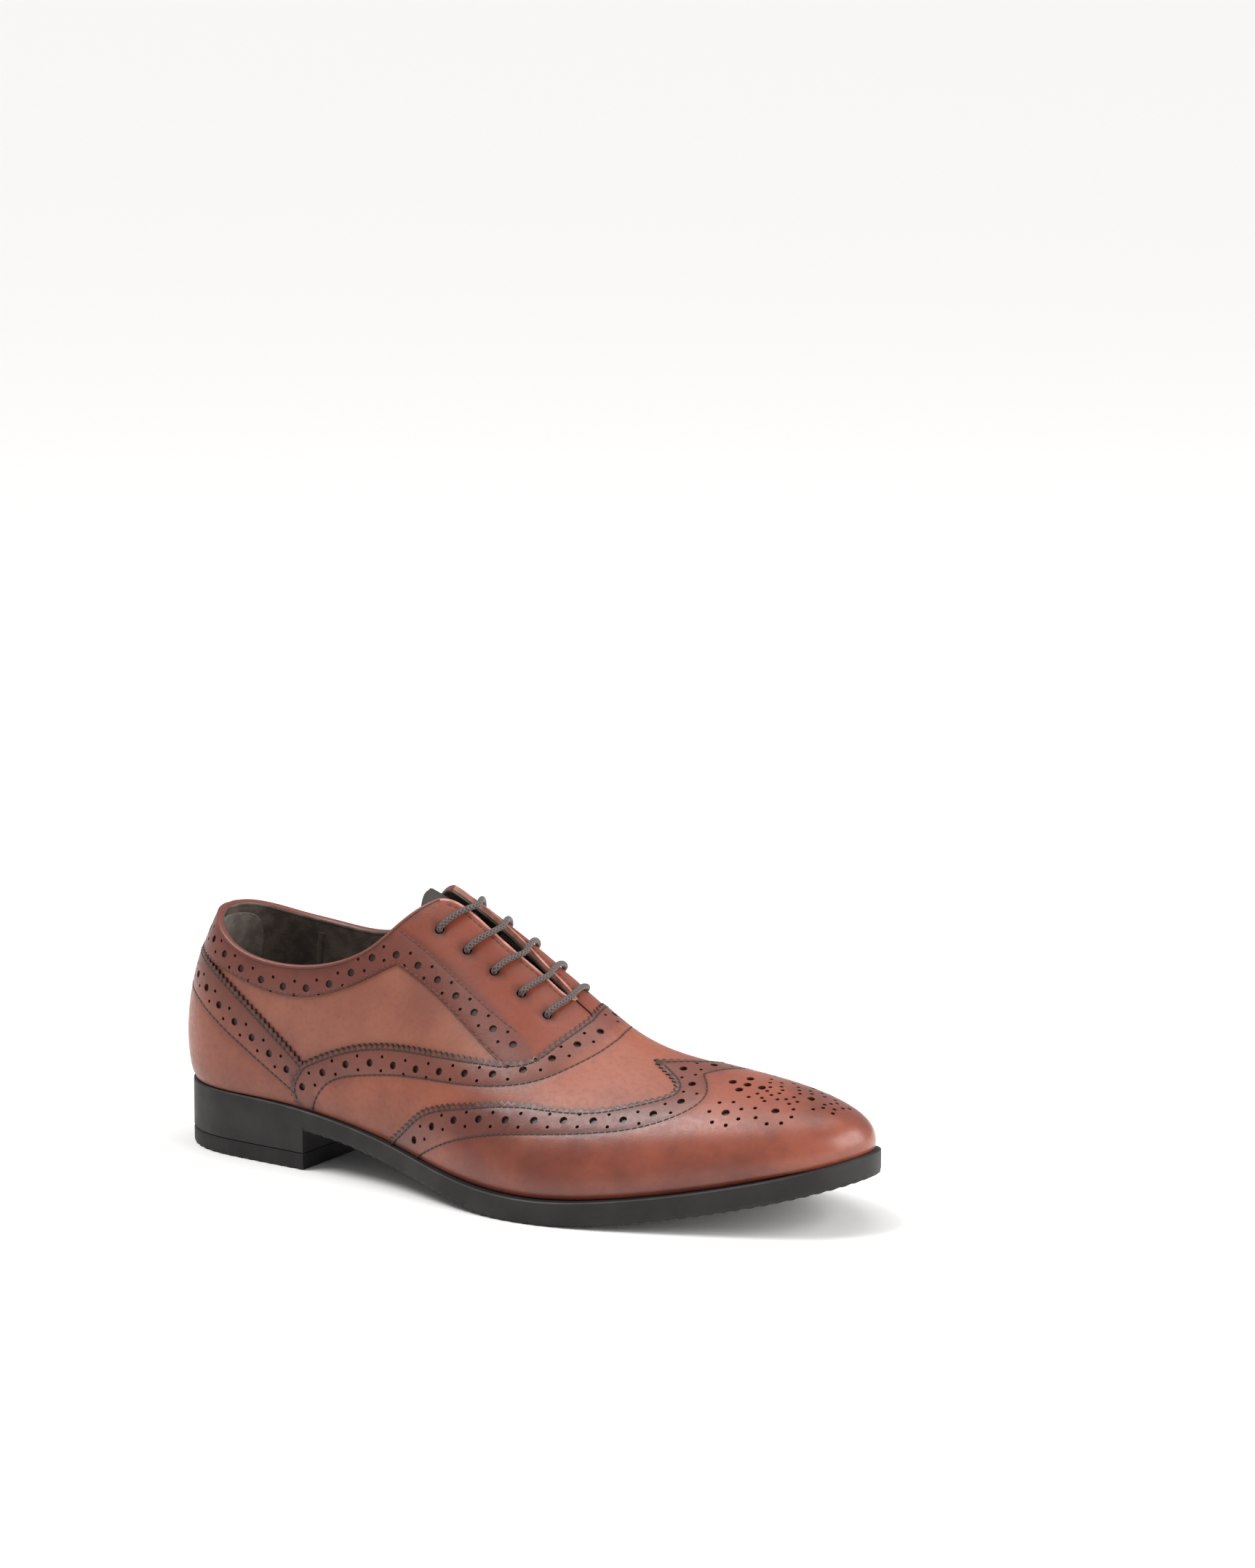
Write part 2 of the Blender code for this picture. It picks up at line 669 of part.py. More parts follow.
def add_object(name, vertices, faces, material, smooth_angle=35.0):
    """A mesh object, cleaned and with its faces pointing out."""
    mesh = bpy.data.meshes.new(name)
    mesh.from_pydata([tuple(map(float, v)) for v in vertices], [], [tuple(map(int, f)) for f in faces])
    work = bmesh.new()
    work.from_mesh(mesh)
    bmesh.ops.remove_doubles(work, verts=work.verts, dist=1e-6)
    loose = [v for v in work.verts if not v.link_faces]
    bmesh.ops.delete(work, geom=loose, context="VERTS")
    bmesh.ops.recalc_face_normals(work, faces=work.faces)
    work.to_mesh(mesh)
    work.free()
    mesh.shade_smooth()
    mesh.set_sharp_from_angle(angle=math.radians(smooth_angle))
    item = bpy.data.objects.new(name, mesh)
    item.data.materials.append(material)
    bpy.context.scene.collection.objects.link(item)
    item.parent = SHOE
    return item


def shell(name, net, low, high, material, inward=0.0):
    """A leather piece: a net thickened from one distance off the last to another.

    Each distance is a number, or a function of the angle. Inward draws the rim in.
    """
    net_angle, net_side, triangles = net
    ids = welded_ids(net_angle, net_side)
    welded = [tuple(ids[i] for i in t) for t in triangles]
    rim = boundary_edges(welded)
    used = sorted({i for t in welded for i in t})
    place = {v: k for k, v in enumerate(used)}
    angle = net_angle[used]
    side = net_side[used]
    base = last_point(angle, side)
    normal = last_normal(angle, side)
    slide = np.zeros_like(base)
    if inward:
        for a, b in rim:
            i, j = place[a], place[b]
            across = np.cross(normal[i] + normal[j], base[j] - base[i])
            across /= np.linalg.norm(across)
            slide[i] += across
            slide[j] += across
        size = np.linalg.norm(slide, axis=1, keepdims=True)
        slide = np.where(size > 0, slide / np.maximum(size, 1e-9) * inward, slide)
    level = np.abs(np.abs(side) - 1) < 1e-6

    def layer(distance):
        if callable(distance):
            distance = distance(angle)[:, None]
        out = base + slide + normal * distance
        out[level, 2] = sole_top(out[level, 0]) + GAP
        return out

    count = len(used)
    faces = [tuple(place[i] for i in t) for t in welded]
    faces += [tuple(place[i] + count for i in reversed(t)) for t in welded]
    for a, b in rim:
        i, j = place[a], place[b]
        faces += [(j, i, i + count), (j, i + count, j + count)]
    return add_object(name, np.vstack([layer(high), layer(low)]), faces, material)


def slab(vertices, faces, turns, levels, corner=None):
    """Adds a flat body over a run of the sole's plan, from levels of (inset, height), top first.

    Both ends of the run stay open where the outline is cut. A corner gives two vertices, inner and
    outer, that lie on the last upright edge of the side wall.
    """
    start = len(vertices)
    count = len(turns)
    for distance, height in levels:
        for sign in (1, -1):
            plan = inset(turns * sign, np.broadcast_to(distance, turns.shape))
            z = np.broadcast_to(height, turns.shape)
            vertices.extend(np.column_stack([plan, z]))

    def at(level, side, i):
        return start + level * 2 * count + side * count + i

    low = len(levels) - 1
    tallest = 1 if low > 1 else 0
    for i in range(count - 1):
        for level in range(low):
            inner = [at(level, 0, i), at(level, 0, i + 1), at(level + 1, 0, i + 1), at(level + 1, 0, i)]
            outer = [at(level, 1, i), at(level, 1, i + 1), at(level + 1, 1, i + 1), at(level + 1, 1, i)]
            if corner and i == count - 2 and level == tallest:
                inner.insert(2, corner[0])
                outer.insert(2, corner[1])
            faces.append(tuple(inner))
            faces.append(tuple(reversed(outer)))
        faces.append((at(0, 1, i), at(0, 1, i + 1), at(0, 0, i + 1), at(0, 0, i)))
        faces.append((at(low, 0, i), at(low, 0, i + 1), at(low, 1, i + 1), at(low, 1, i)))
    return at


def angle_at(along):
    """The outline's angle at a share of SHOE_LENGTH from the back of the heel."""
    return math.degrees(math.acos(1 - 2 * along))


def heel_turns():
    """Stations from the back of the heel to its breast."""
    breast = angle_at(HEEL_LENGTH / SHOE_LENGTH)
    steps = [ANGLE_STEP * i for i in range(int(breast / ANGLE_STEP) + 1)]
    return np.array(steps + [breast], float)


def waist_turns():
    """Stations from the breast of the heel to the toe, with both ends of the flat tread."""
    breast = angle_at(HEEL_LENGTH / SHOE_LENGTH)
    first = int(breast / ANGLE_STEP) + 1
    steps = [ANGLE_STEP * i for i in range(first, int(180 / ANGLE_STEP) + 1)]
    return np.array(sorted([breast, angle_at(FLAT_START), angle_at(SPRING_START)] + steps), float)


def edge_levels(high, low):
    """Top to bottom levels of a body with rounded edges."""
    return [(EDGE_ROUND, high), (0.0, high - EDGE_ROUND), (0.0, low + EDGE_ROUND), (EDGE_ROUND, low)]


def add_outsole(material):
    """The sole with its heel block; the breast of the heel is a wall at HEEL_LENGTH."""
    vertices = []
    faces = []
    front = waist_turns()
    along = outline(front)[:, 0]
    at_front = slab(vertices, faces, front, edge_levels(sole_top(along), sole_bottom(along)))
    heel = heel_turns()
    block = TOP_PIECE_THICKNESS + GAP
    levels = edge_levels(sole_top(outline(heel)[:, 0]), block)
    corner = (at_front(2, 0, 0), at_front(2, 1, 0))
    at_heel = slab(vertices, faces, heel, levels, corner)
    end = len(heel) - 1
    faces.append((at_heel(3, 0, end), at_heel(3, 1, end), at_heel(2, 1, end), at_front(2, 1, 0),
                  at_front(3, 1, 0), at_front(3, 0, 0), at_front(2, 0, 0), at_heel(2, 0, end)))
    return add_object("outsole", vertices, faces, material)


def add_heel_top_piece(material):
    """The wearing layer under the heel block, flat on the floor."""
    vertices = []
    faces = []
    turns = heel_turns()
    levels = [(0.0, TOP_PIECE_THICKNESS), (0.0, EDGE_ROUND), (EDGE_ROUND, 0.0)]
    at = slab(vertices, faces, turns, levels)
    end = len(turns) - 1
    rows = range(len(levels))
    faces.append(tuple([at(r, 0, end) for r in rows] + [at(r, 1, end) for r in reversed(rows)]))
    return add_object("heel_top_piece", vertices, faces, material)


def add_insole(material):
    """A flexible insole that lies on the sole inside the upper."""
    vertices = []
    faces = []
    turns = np.array([ANGLE_STEP * i for i in range(int(180 / ANGLE_STEP) + 1)], float)
    margin = lip(turns) + WALL + 2 * GAP
    seat = sole_top(inset(turns, margin)[:, 0]) + GAP
    slab(vertices, faces, turns, [(margin, seat + INSOLE_THICKNESS), (margin, seat)])
    return add_object("insole", vertices, faces, material)


def tongue_depth(angle):
    """The tongue lies under the lace and rises to its seat under the vamp."""
    run = TONGUE_RISE_END - TONGUE_RISE_START
    share = np.clip((np.asarray(angle, float) - TONGUE_RISE_START) / run, 0, 1)
    share = share * share * (3 - 2 * share)
    return TONGUE_DEPTH + (TONGUE_SEAT - TONGUE_DEPTH) * share


def tongue_underside(angle):
    """The lower face of the tongue."""
    return tongue_depth(angle) - TONGUE_THICKNESS


def add_tongue(material):
    """A sheet under the facings, from the same function as the upper."""
    left, right = both(TONGUE_EDGE)
    polygon = chain(left, right[::-1])
    net = select(triangulate([polygon], TONGUE_ROWS), [polygon])
    return shell("tongue", net, tongue_underside, tongue_depth, material)


# The lace's run: over the facings in five bars, under them between the bars. Each stop is an eyelet
# row (counted from the top) and a side; the shift moves a hidden run past the eyelet that it skips.
LACE_RUN = (
    # row, side, next stretch, shift at a skipped eyelet
    (0, 2, "over", 0.0),
    (0, 1, "under", -0.075),
    (2, 1, "over", 0.0),
    (2, 2, "under", 0.075),
    (4, 2, "over", 0.0),
    (4, 1, "under", 0.0),
    (3, 1, "over", 0.0),
    (3, 2, "under", -0.075),
    (1, 2, "over", 0.0),
    (1, 1, "end", 0.0),
)


def lace_stretch(start, end, kind, shift):
    """Points of one stretch between two eyelets, without the eyelets themselves."""
    gap = np.linalg.norm(last_point(*end) - last_point(*start))
    count = max(2, int(round(gap / LACE_STEP)))
    points = []
    for i in range(1, count):
        t = i / count
        angle = start[0] + (end[0] - start[0]) * t
        side = start[1] + (end[1] - start[1]) * t
        side += shift * math.sin(math.pi * t)
        height = LACE_OVER if kind == "over" else LACE_UNDER
        points.append(surface(np.array(angle), np.array(side), np.array(height)))
    return points


def lace_points():
    """The whole route of the lace."""
    stops = [(EYELETS[row][0], EYELETS[row][side]) for row, side, kind, shift in LACE_RUN]
    route = []
    over_shoulder = LACE_OVER - LACE_SHOULDER * LACE_RADIUS
    under_shoulder = LACE_UNDER + LACE_SHOULDER * LACE_RADIUS
    for i, (row, side, kind, shift) in enumerate(LACE_RUN):
        from_under = i > 0 and LACE_RUN[i - 1][2] == "under" or i == 0
        depths = [under_shoulder, 0.5 * (over_shoulder + under_shoulder), over_shoulder]
        if not from_under:
            depths.reverse()
        for depth in depths:
            route.append(surface(np.array(stops[i][0]), np.array(stops[i][1]), np.array(depth)))
        if kind != "end":
            route += lace_stretch(stops[i], stops[i + 1], kind, shift)
    return route


def add_lace(material):
    """One round lace as a curve with a bevel."""
    points = lace_points()
    curve = bpy.data.curves.new("lace", "CURVE")
    curve.dimensions = "3D"
    curve.bevel_depth = LACE_RADIUS
    curve.bevel_resolution = 2
    curve.use_fill_caps = True
    line = curve.splines.new("POLY")
    line.points.add(len(points) - 1)
    for target, point in zip(line.points, points):
        target.co = (float(point[0]), float(point[1]), float(point[2]), 1.0)
    item = bpy.data.objects.new("lace", curve)
    item.data.materials.append(material)
    bpy.context.scene.collection.objects.link(item)
    item.parent = SHOE
    return item


for old in list(bpy.data.objects):
    bpy.data.objects.remove(old, do_unlink=True)

SHOE = bpy.data.objects.new("shoe_frame", None)
bpy.context.scene.collection.objects.link(SHOE)

SIDED_ROWS = sorted({-r for r in ROWS[:-1]} | set(ROWS[:-1]))
NET = triangulate([p for group in REGIONS.values() for p in group] + HOLES, SIDED_ROWS)

TAN_LEATHER = (0.33, 0.10, 0.045)
DARK_LEATHER = (0.25, 0.07, 0.035)
RUBBER = (0.035, 0.032, 0.030)


def add_overlay(name, thickness, material):
    """A leather piece that lies on the upper over its region."""
    net = select(NET, REGIONS[name], HOLES)
    return shell(name, net, GAP, GAP + thickness, material, GAP / 2)


def centre_on_floor(items):
    """Moves the shoe's frame so that the middle of its bounding box is over the origin."""
    points = np.array([v.co for item in items for v in item.data.vertices])
    middle = (points.min(axis=0) + points.max(axis=0)) / 2
    SHOE.location = (-middle[0], -middle[1], 0.0)


add_heel_top_piece(make_material("top_piece_rubber", (0.03, 0.028, 0.026), 0.6))
add_insole(make_material("insole_cloth", (0.012, 0.011, 0.010), 0.85))
add_tongue(make_material("tongue_leather", (0.06, 0.045, 0.04), 0.6))
add_lace(make_material("lace_cotton", (0.06, 0.05, 0.045), 0.7))
shell("upper", select(NET, REGIONS["whole"], REGIONS["opening"] + HOLES), -WALL, 0.0,
      make_material("quarter_leather", TAN_LEATHER, 0.4))
centre_on_floor([
    add_outsole(make_material("outsole_rubber", RUBBER, 0.55)),
    add_overlay("facing_outer", FACING_THICKNESS, make_material("facing_outer_leather", DARK_LEATHER, 0.4)),
    add_overlay("facing_inner", FACING_THICKNESS, make_material("facing_inner_leather", DARK_LEATHER, 0.4)),
    add_overlay("heel_counter", COUNTER_THICKNESS, make_material("counter_leather", TAN_LEATHER, 0.38)),
    add_overlay("vamp", VAMP_THICKNESS, make_material("vamp_leather", TAN_LEATHER, 0.36)),
    add_overlay("toe_cap", CAP_THICKNESS, make_material("cap_leather", TAN_LEATHER, 0.34)),
])
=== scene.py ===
# %% [markdown]
# # A wing-tip shoe, built on its last
#
# A leather shoe starts as flat panels that are stretched over a last, a solid model of a foot, and
# then fixed to a sole. This lesson works the same way: one function describes the last, every panel
# is drawn on it as an outline, and each panel is cut, punched and given a thickness there. We start
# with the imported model, which fixes where everything goes.

# %% Load the frame
import math

import bmesh
import bpy
import numpy as np
from mathutils import Matrix, Vector
from mathutils.geometry import delaunay_2d_cdt
from mathutils.kdtree import KDTree


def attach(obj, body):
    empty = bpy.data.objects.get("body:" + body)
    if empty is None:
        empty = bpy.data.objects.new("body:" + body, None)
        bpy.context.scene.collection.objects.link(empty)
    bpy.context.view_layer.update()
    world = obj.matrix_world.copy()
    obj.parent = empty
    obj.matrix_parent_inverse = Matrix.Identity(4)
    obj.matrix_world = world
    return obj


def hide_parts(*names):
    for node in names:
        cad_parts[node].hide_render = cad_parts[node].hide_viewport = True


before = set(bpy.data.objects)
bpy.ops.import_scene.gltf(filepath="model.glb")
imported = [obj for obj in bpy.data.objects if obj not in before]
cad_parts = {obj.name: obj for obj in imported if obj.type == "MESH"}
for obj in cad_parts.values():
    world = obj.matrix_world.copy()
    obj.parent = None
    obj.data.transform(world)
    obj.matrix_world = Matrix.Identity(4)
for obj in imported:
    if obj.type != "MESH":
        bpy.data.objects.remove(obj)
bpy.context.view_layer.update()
MM = 0.001
SHIFT = np.array([-151.39, 2.45, 0.0]) * MM
print("frame", sorted(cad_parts))

# %% [markdown]
# ## Sizes
#
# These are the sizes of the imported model: the sole first, then the last, then the leather. The
# tables give the sole's plan and side view as shares of the named sizes.

# %% Sizes of the shoe
SHOE_LENGTH = 0.305
BALL_WIDTH = 0.107
HEEL_WIDTH = 0.067
HEEL_HEIGHT = 0.0265
HEEL_LENGTH = 0.072
TOP_PIECE = 0.0065
SOLE_THICKNESS = 0.0095
TOE_SPRING = 0.0205
INSTEP_HEIGHT = 0.104
TOE_HEIGHT = 0.0455
HEEL_LIP = 0.0015
TOE_LIP = 0.0050
CREST_BACK = 0.040
CREST_TOE_RUN = 0.0175
GAP = 0.3 * MM
WALL = 2.0 * MM

FACING_TOP = 0.9 * MM
COUNTER_TOP = 1.3 * MM
VAMP_TOP = 1.5 * MM
CAP_TOP = 2.2 * MM
UNDERSIDE = 0.05 * MM

HEEL_PLAN = (
    # angle, outer, inner
    (15, -0.254, 0.254),
    (30, -0.440, 0.433),
    (45, -0.503, 0.493),
    (60, -0.537, 0.478),
)
BALL_PLAN = (
    # angle, outer, inner
    (75, -0.379, 0.276),
    (90, -0.486, 0.318),
    (105, -0.523, 0.421),
    (120, -0.430, 0.481),
    (135, -0.313, 0.439),
    (150, -0.210, 0.336),
    (165, -0.084, 0.206),
)
TOE_POINT = 0.065
SEAT_LINE = (
    # along, height share
    (0.000, 1.000),
    (0.100, 0.981),
    (0.236, 0.917),
    (0.295, 0.830),
    (0.361, 0.709),
    (0.426, 0.581),
    (0.492, 0.460),
    (0.551, 0.385),
    (0.623, SOLE_THICKNESS / HEEL_HEIGHT),
)
WAIST_LINE = (
    # along, height share
    (0.236, 0.600),
    (0.295, 0.525),
    (0.361, 0.400),
    (0.426, 0.264),
    (0.492, 0.128),
    (0.541, 0.038),
    (0.575, 0.000),
)
SPRING_START = 0.623
SPRING_POWER = 1.7
LIP_START = 40.0
LIP_END = 100.0

# %% [markdown]
# ## The last
#
# Ribs run over the last like the hoops of a tunnel, one every 15 degrees from the back of the heel
# to the toe. Each rib is a cubic curve from its crest down to the edge of the sole, so a place on
# the last is two numbers: the angle of its rib, and its side, 0 at the crest and 1 at the sole,
# negative on the outer side. Splines join the ribs into one smooth form.

# %% Ribs of the last
RIBS = (
    # height, shift, crown out, crown in, side out, side in, flare out, flare in, slope
    (1.173, 0.000, 0.50, 0.50, 0.38, 0.38, 0.112, 0.112, 0.00),
    (1.173, 0.000, 0.60, 0.60, 0.38, 0.38, 0.093, 0.093, 0.00),
    (1.183, 0.000, 0.72, 0.72, 0.38, 0.38, 0.056, 0.056, 0.00),
    (1.192, 0.000, 0.72, 0.72, 0.38, 0.38, 0.028, 0.028, 0.00),
    (1.144, 0.000, 0.60, 0.60, 0.38, 0.38, 0.009, 0.005, 0.15),
    (1.000, 0.000, 0.50, 0.70, 0.38, 0.52, 0.009, 0.000, 0.30),
    (0.774, 0.000, 0.50, 0.95, 0.38, 0.52, 0.028, 0.009, 0.35),
    (1.336, 0.000, 0.50, 0.60, 0.45, 0.42, 0.028, 0.019, 0.33),
    (1.160, 0.009, 0.55, 0.50, 0.55, 0.45, 0.023, 0.028, 0.27),
    (1.088, 0.023, 0.60, 0.55, 0.65, 0.55, 0.023, 0.028, 0.20),
    (1.026, 0.037, 0.60, 0.60, 0.65, 0.60, 0.028, 0.028, 0.15),
    (0.982, 0.051, 0.60, 0.60, 0.60, 0.60, 0.033, 0.033, 0.05),
    (0.960, 0.056, 0.60, 0.60, 0.60, 0.60, 0.037, 0.037, 0.00),
)
RIB_ANGLES = [15.0 * i for i in range(len(RIBS))]
TOE_RIB = 7
HEIGHTS = [r[0] * (INSTEP_HEIGHT if i < TOE_RIB else TOE_HEIGHT) for i, r in enumerate(RIBS)]


def spline(knots, values, places):
    """A natural cubic through (knots, values), read at the given places."""
    x, y = np.asarray(knots, float), np.asarray(values, float)
    count = len(x)
    matrix, right = np.eye(count), np.zeros(count)
    for i in range(1, count - 1):
        before, after = x[i] - x[i - 1], x[i + 1] - x[i]
        matrix[i, i - 1:i + 2] = before, 2 * (before + after), after
        right[i] = 6 * ((y[i + 1] - y[i]) / after - (y[i] - y[i - 1]) / before)
    bend = np.linalg.solve(matrix, right)
    places = np.asarray(places, float)
    span = np.clip(np.searchsorted(x, places, side="right") - 1, 0, count - 2)
    width = x[span + 1] - x[span]
    high = (places - x[span]) / width
    low = 1 - high
    cubic = (low ** 3 - low) * bend[span] + (high ** 3 - high) * bend[span + 1]
    return low * y[span] + high * y[span + 1] + cubic * width ** 2 / 6


def mirrored(angles, values, places):
    """A spline with level ends: the table is mirrored past 0 and 180 degrees."""
    angles, values = list(angles), list(values)
    knots = [-a for a in angles[3:0:-1]] + angles + [360 - a for a in angles[-2:-5:-1]]
    return spline(knots, values[3:0:-1] + values + values[-2:-5:-1], places)


print("ribs", len(RIBS), "crest heights", np.round(np.array(HEIGHTS) / MM))

# %% [markdown]
# ## The outline of the sole
#
# A sole is drawn twice, in plan and from the side. The plan is a closed curve through a few widths.
# Its points are worked out from an angle, which crowds them at the heel and the toe, where the curve
# is tightest. The side view gives the heights of the sole's two edges along the shoe.

# %% The sole's plan and side view
plan = [(a, o * HEEL_WIDTH, i * HEEL_WIDTH) for a, o, i in HEEL_PLAN]
plan += [(a, o * BALL_WIDTH, i * BALL_WIDTH) for a, o, i in BALL_PLAN]
ring = [(0, 0.0)] + [(a, i) for a, o, i in plan] + [(180, TOE_POINT * BALL_WIDTH)]
ring += [(360 - a, o) for a, o, i in reversed(plan)]
ring = [(a - 360, y) for a, y in ring[-3:]] + ring + [(a + 360, y) for a, y in ring[:4]]
PLAN_ANGLES, PLAN_WIDTHS = zip(*ring)


def outline(turn):
    """The sole's outline; turn runs 0 to 180 on the inner side and 0 to -180 on the outer."""
    turn = np.asarray(turn, float)
    x = SHOE_LENGTH / 2 * (1 - np.cos(np.radians(turn)))
    return np.stack([x, spline(PLAN_ANGLES, PLAN_WIDTHS, np.mod(turn, 360))], -1)


def outward(turn):
    """Unit vectors in plan that point out of the outline."""
    step = outline(np.asarray(turn, float) + 0.5) - outline(np.asarray(turn, float) - 0.5)
    step /= np.linalg.norm(step, axis=-1, keepdims=True)
    return np.stack([-step[..., 1], step[..., 0]], -1)


def inset(turn, distance):
    """The outline moved inward."""
    return outline(turn) - outward(turn) * np.asarray(distance, float)[..., None]


def spring(x):
    """Rise of the tread in front of the ball."""
    start = SPRING_START * SHOE_LENGTH
    share = np.clip((np.asarray(x, float) - start) / (SHOE_LENGTH - start), 0, 1)
    return TOE_SPRING * share ** SPRING_POWER


def side_line(rows, sign, x):
    """A side view table, level or falling evenly at its front end."""
    along = [row[0] * SHOE_LENGTH for row in rows]
    heights = [row[1] * HEEL_HEIGHT for row in rows]
    knots = along + [2 * along[-1] - a for a in along[-2:-5:-1]]
    values = heights + [sign * h for h in heights[-2:-5:-1]]
    return spline(knots, values, np.clip(x, along[0], along[-1]))


def sole_top(x):
    """Height of the sole's upper edge."""
    return side_line(SEAT_LINE, 1, x) + spring(x)


def sole_bottom(x):
    """Height of the sole's underside in front of the heel."""
    return np.clip(side_line(WAIST_LINE, -1, x), 0, None) + spring(x)


print("width at the ball", round(float(np.ptp(outline(np.arange(-180, 181))[:, 1])) / MM, 1), "mm")

# %% [markdown]
# ## A place on the last
#
# The leather needs two things from the last: the point at a place, and the direction straight out of
# it. The direction comes from two slopes, one along the shoe and one round the rib, because their
# cross product stands at right angles to the surface.

# %% Points and normals on the last
def lip(angle):
    """How far the last stands inside the sole's outline."""
    share = np.clip((np.asarray(angle, float) - LIP_START) / (LIP_END - LIP_START), 0, 1)
    return HEEL_LIP + (TOE_LIP - HEEL_LIP) * share


def rib_value(which, scale, angle):
    """One column of the rib table at an angle."""
    return mirrored(RIB_ANGLES, [row[which] * scale for row in RIBS], angle)


def last_point(angle, side):
    """A point on the last at an angle (0 to 180) and a share of the rib (-1 to 1)."""
    angle, side = np.broadcast_arrays(np.asarray(angle, float), np.asarray(side, float))
    outer = side < 0
    crown = np.where(outer, rib_value(2, 1, angle), rib_value(3, 1, angle))
    wall = np.where(outer, rib_value(4, 1, angle), rib_value(5, 1, angle))
    flare = np.where(outer, rib_value(6, BALL_WIDTH, angle), rib_value(7, BALL_WIDTH, angle))
    turn = np.where(outer, -angle, angle)
    edge = inset(turn, lip(angle))
    run = SHOE_LENGTH - CREST_TOE_RUN - CREST_BACK
    crest_x = CREST_BACK + run * (1 - np.cos(np.radians(angle))) / 2
    near = np.clip(angle, 1, 179)
    rise = mirrored(RIB_ANGLES, HEIGHTS, near + 0.5) - mirrored(RIB_ANGLES, HEIGHTS, near - 0.5)
    forward = run / 2 * (np.cos(np.radians(near - 0.5)) - np.cos(np.radians(near + 0.5)))
    crest = np.stack([crest_x, rib_value(1, BALL_WIDTH, angle), mirrored(RIB_ANGLES, HEIGHTS, angle)], -1)
    foot = np.stack([edge[..., 0], edge[..., 1], sole_top(edge[..., 0]) + GAP], -1)
    reach = foot - crest
    away = outward(turn)
    lift = crown * (reach[..., 0] * rise / forward + reach[..., 1] * rib_value(8, 1, angle))
    upper = crest + np.stack([crown * reach[..., 0], crown * reach[..., 1], lift], -1)
    lower = foot + np.stack([away[..., 0] * flare, away[..., 1] * flare, -wall * reach[..., 2]], -1)
    t = np.abs(side)[..., None]
    s = 1 - t
    return crest * s ** 3 + 3 * upper * s * s * t + 3 * lower * s * t * t + foot * t ** 3


def last_slopes(angle, side):
    """The change of the point with a degree of angle and with the whole rib."""
    angle, side = np.clip(np.asarray(angle, float), 0.5, 179.5), np.asarray(side, float)
    along = last_point(angle + 0.5, side) - last_point(angle - 0.5, side)
    return along, (last_point(angle, side + 0.005) - last_point(angle, side - 0.005)) * 100


def last_normal(angle, side):
    """Unit normals out of the last; heel and toe seams take the mean of both sides."""
    angle, side = np.broadcast_arrays(np.asarray(angle, float), np.asarray(side, float))

    def normal(s):
        n = np.cross(*last_slopes(angle, s))
        return n / np.linalg.norm(n, axis=-1, keepdims=True)

    ends = (angle < 0.01) | (angle > 179.99)
    n = normal(side) + np.where(ends[..., None], normal(-side), 0)
    return n / np.linalg.norm(n, axis=-1, keepdims=True)


def surface(angle, side, offset):
    """Points at a distance from the last, kept level where they meet the sole."""
    out = last_point(angle, side)
    out = out + last_normal(angle, side) * np.broadcast_to(offset, np.shape(angle))[..., None]
    level = np.abs(np.abs(side) - 1) < 1e-6
    out[..., 2] = np.where(level, sole_top(out[..., 0]) + GAP, out[..., 2])
    return out


print("instep", np.round(last_point(75, 0) / MM, 1), "toe", np.round(last_point(180, 0.5) / MM, 1))

# %% [markdown]
# ## Pattern lines
#
# A pattern maker draws seams on the last with a flexible rule. Here a line is a short table of
# places. We run a smooth curve through them and step along it at equal true distances, because a
# stitch or a punch keeps its pitch wherever the seam goes. A line can also be moved sideways by so
# many millimetres, which is how a stitch row follows an edge.

# %% Lines on the last
# about how much leather one degree and one whole rib take up, to draw places on a flat sheet
FLAT = np.array([1.7 * MM, 85 * MM])
CREST_BAND = 0.35


def lengths(points):
    """Distance along a row of points."""
    return np.concatenate([[0], np.cumsum(np.linalg.norm(np.diff(points, axis=0), axis=1))])


def trace(rows, step, sign=1, bend=0.0, count=None):
    """Evenly spaced places on a smooth line; bend shifts the places near the crest to the inner side."""
    rows = np.array([row[:2] for row in rows], float) * (1, sign)
    rows[:, 1] += bend * np.clip(1 - np.abs(rows[:, 1]) / CREST_BAND, 0, 1)
    knots = lengths(rows * FLAT)
    places = np.linspace(0, knots[-1], 40 * len(rows))
    fine = np.column_stack([spline(knots, rows[:, 0], places), spline(knots, rows[:, 1], places)])
    fine = np.clip(fine, (0, -1), (180, 1))
    run = lengths(last_point(*fine.T))
    count = count or max(2, int(round(run[-1] / step)) + 1)
    at = np.linspace(0, run[-1], count)
    line = np.column_stack([np.interp(at, run, fine[:, 0]), np.interp(at, run, fine[:, 1])])
    line[0], line[-1] = rows[0], rows[-1]
    return line


def respaced(line, step):
    """A line's places spaced evenly again, without its first and last half step."""
    run = lengths(last_point(*line.T))
    at = np.arange(step / 2, run[-1] - step / 4, step)
    return np.column_stack([np.interp(at, run, line[:, 0]), np.interp(at, run, line[:, 1])])


def moved(line, vectors):
    """Places moved by small vectors that lie in the surface."""
    along, across = last_slopes(*line.T)
    aa, ac, cc = (along * along).sum(1), (along * across).sum(1), (across * across).sum(1)
    va, vc = (vectors * along).sum(1), (vectors * across).sum(1)
    det = aa * cc - ac * ac
    shift = np.column_stack([(cc * va - ac * vc) / det, (aa * vc - ac * va) / det])
    return np.clip(line + shift, (0, -1), (180, 1))


def beside(line, distance):
    """A line moved sideways: to the left of its run, seen from outside, where distance is positive."""
    point = last_point(*line.T)
    left = np.cross(last_normal(*line.T), np.gradient(point, axis=0))
    left /= np.linalg.norm(left, axis=1, keepdims=True)
    return moved(line, left * np.broadcast_to(distance, len(line))[:, None])


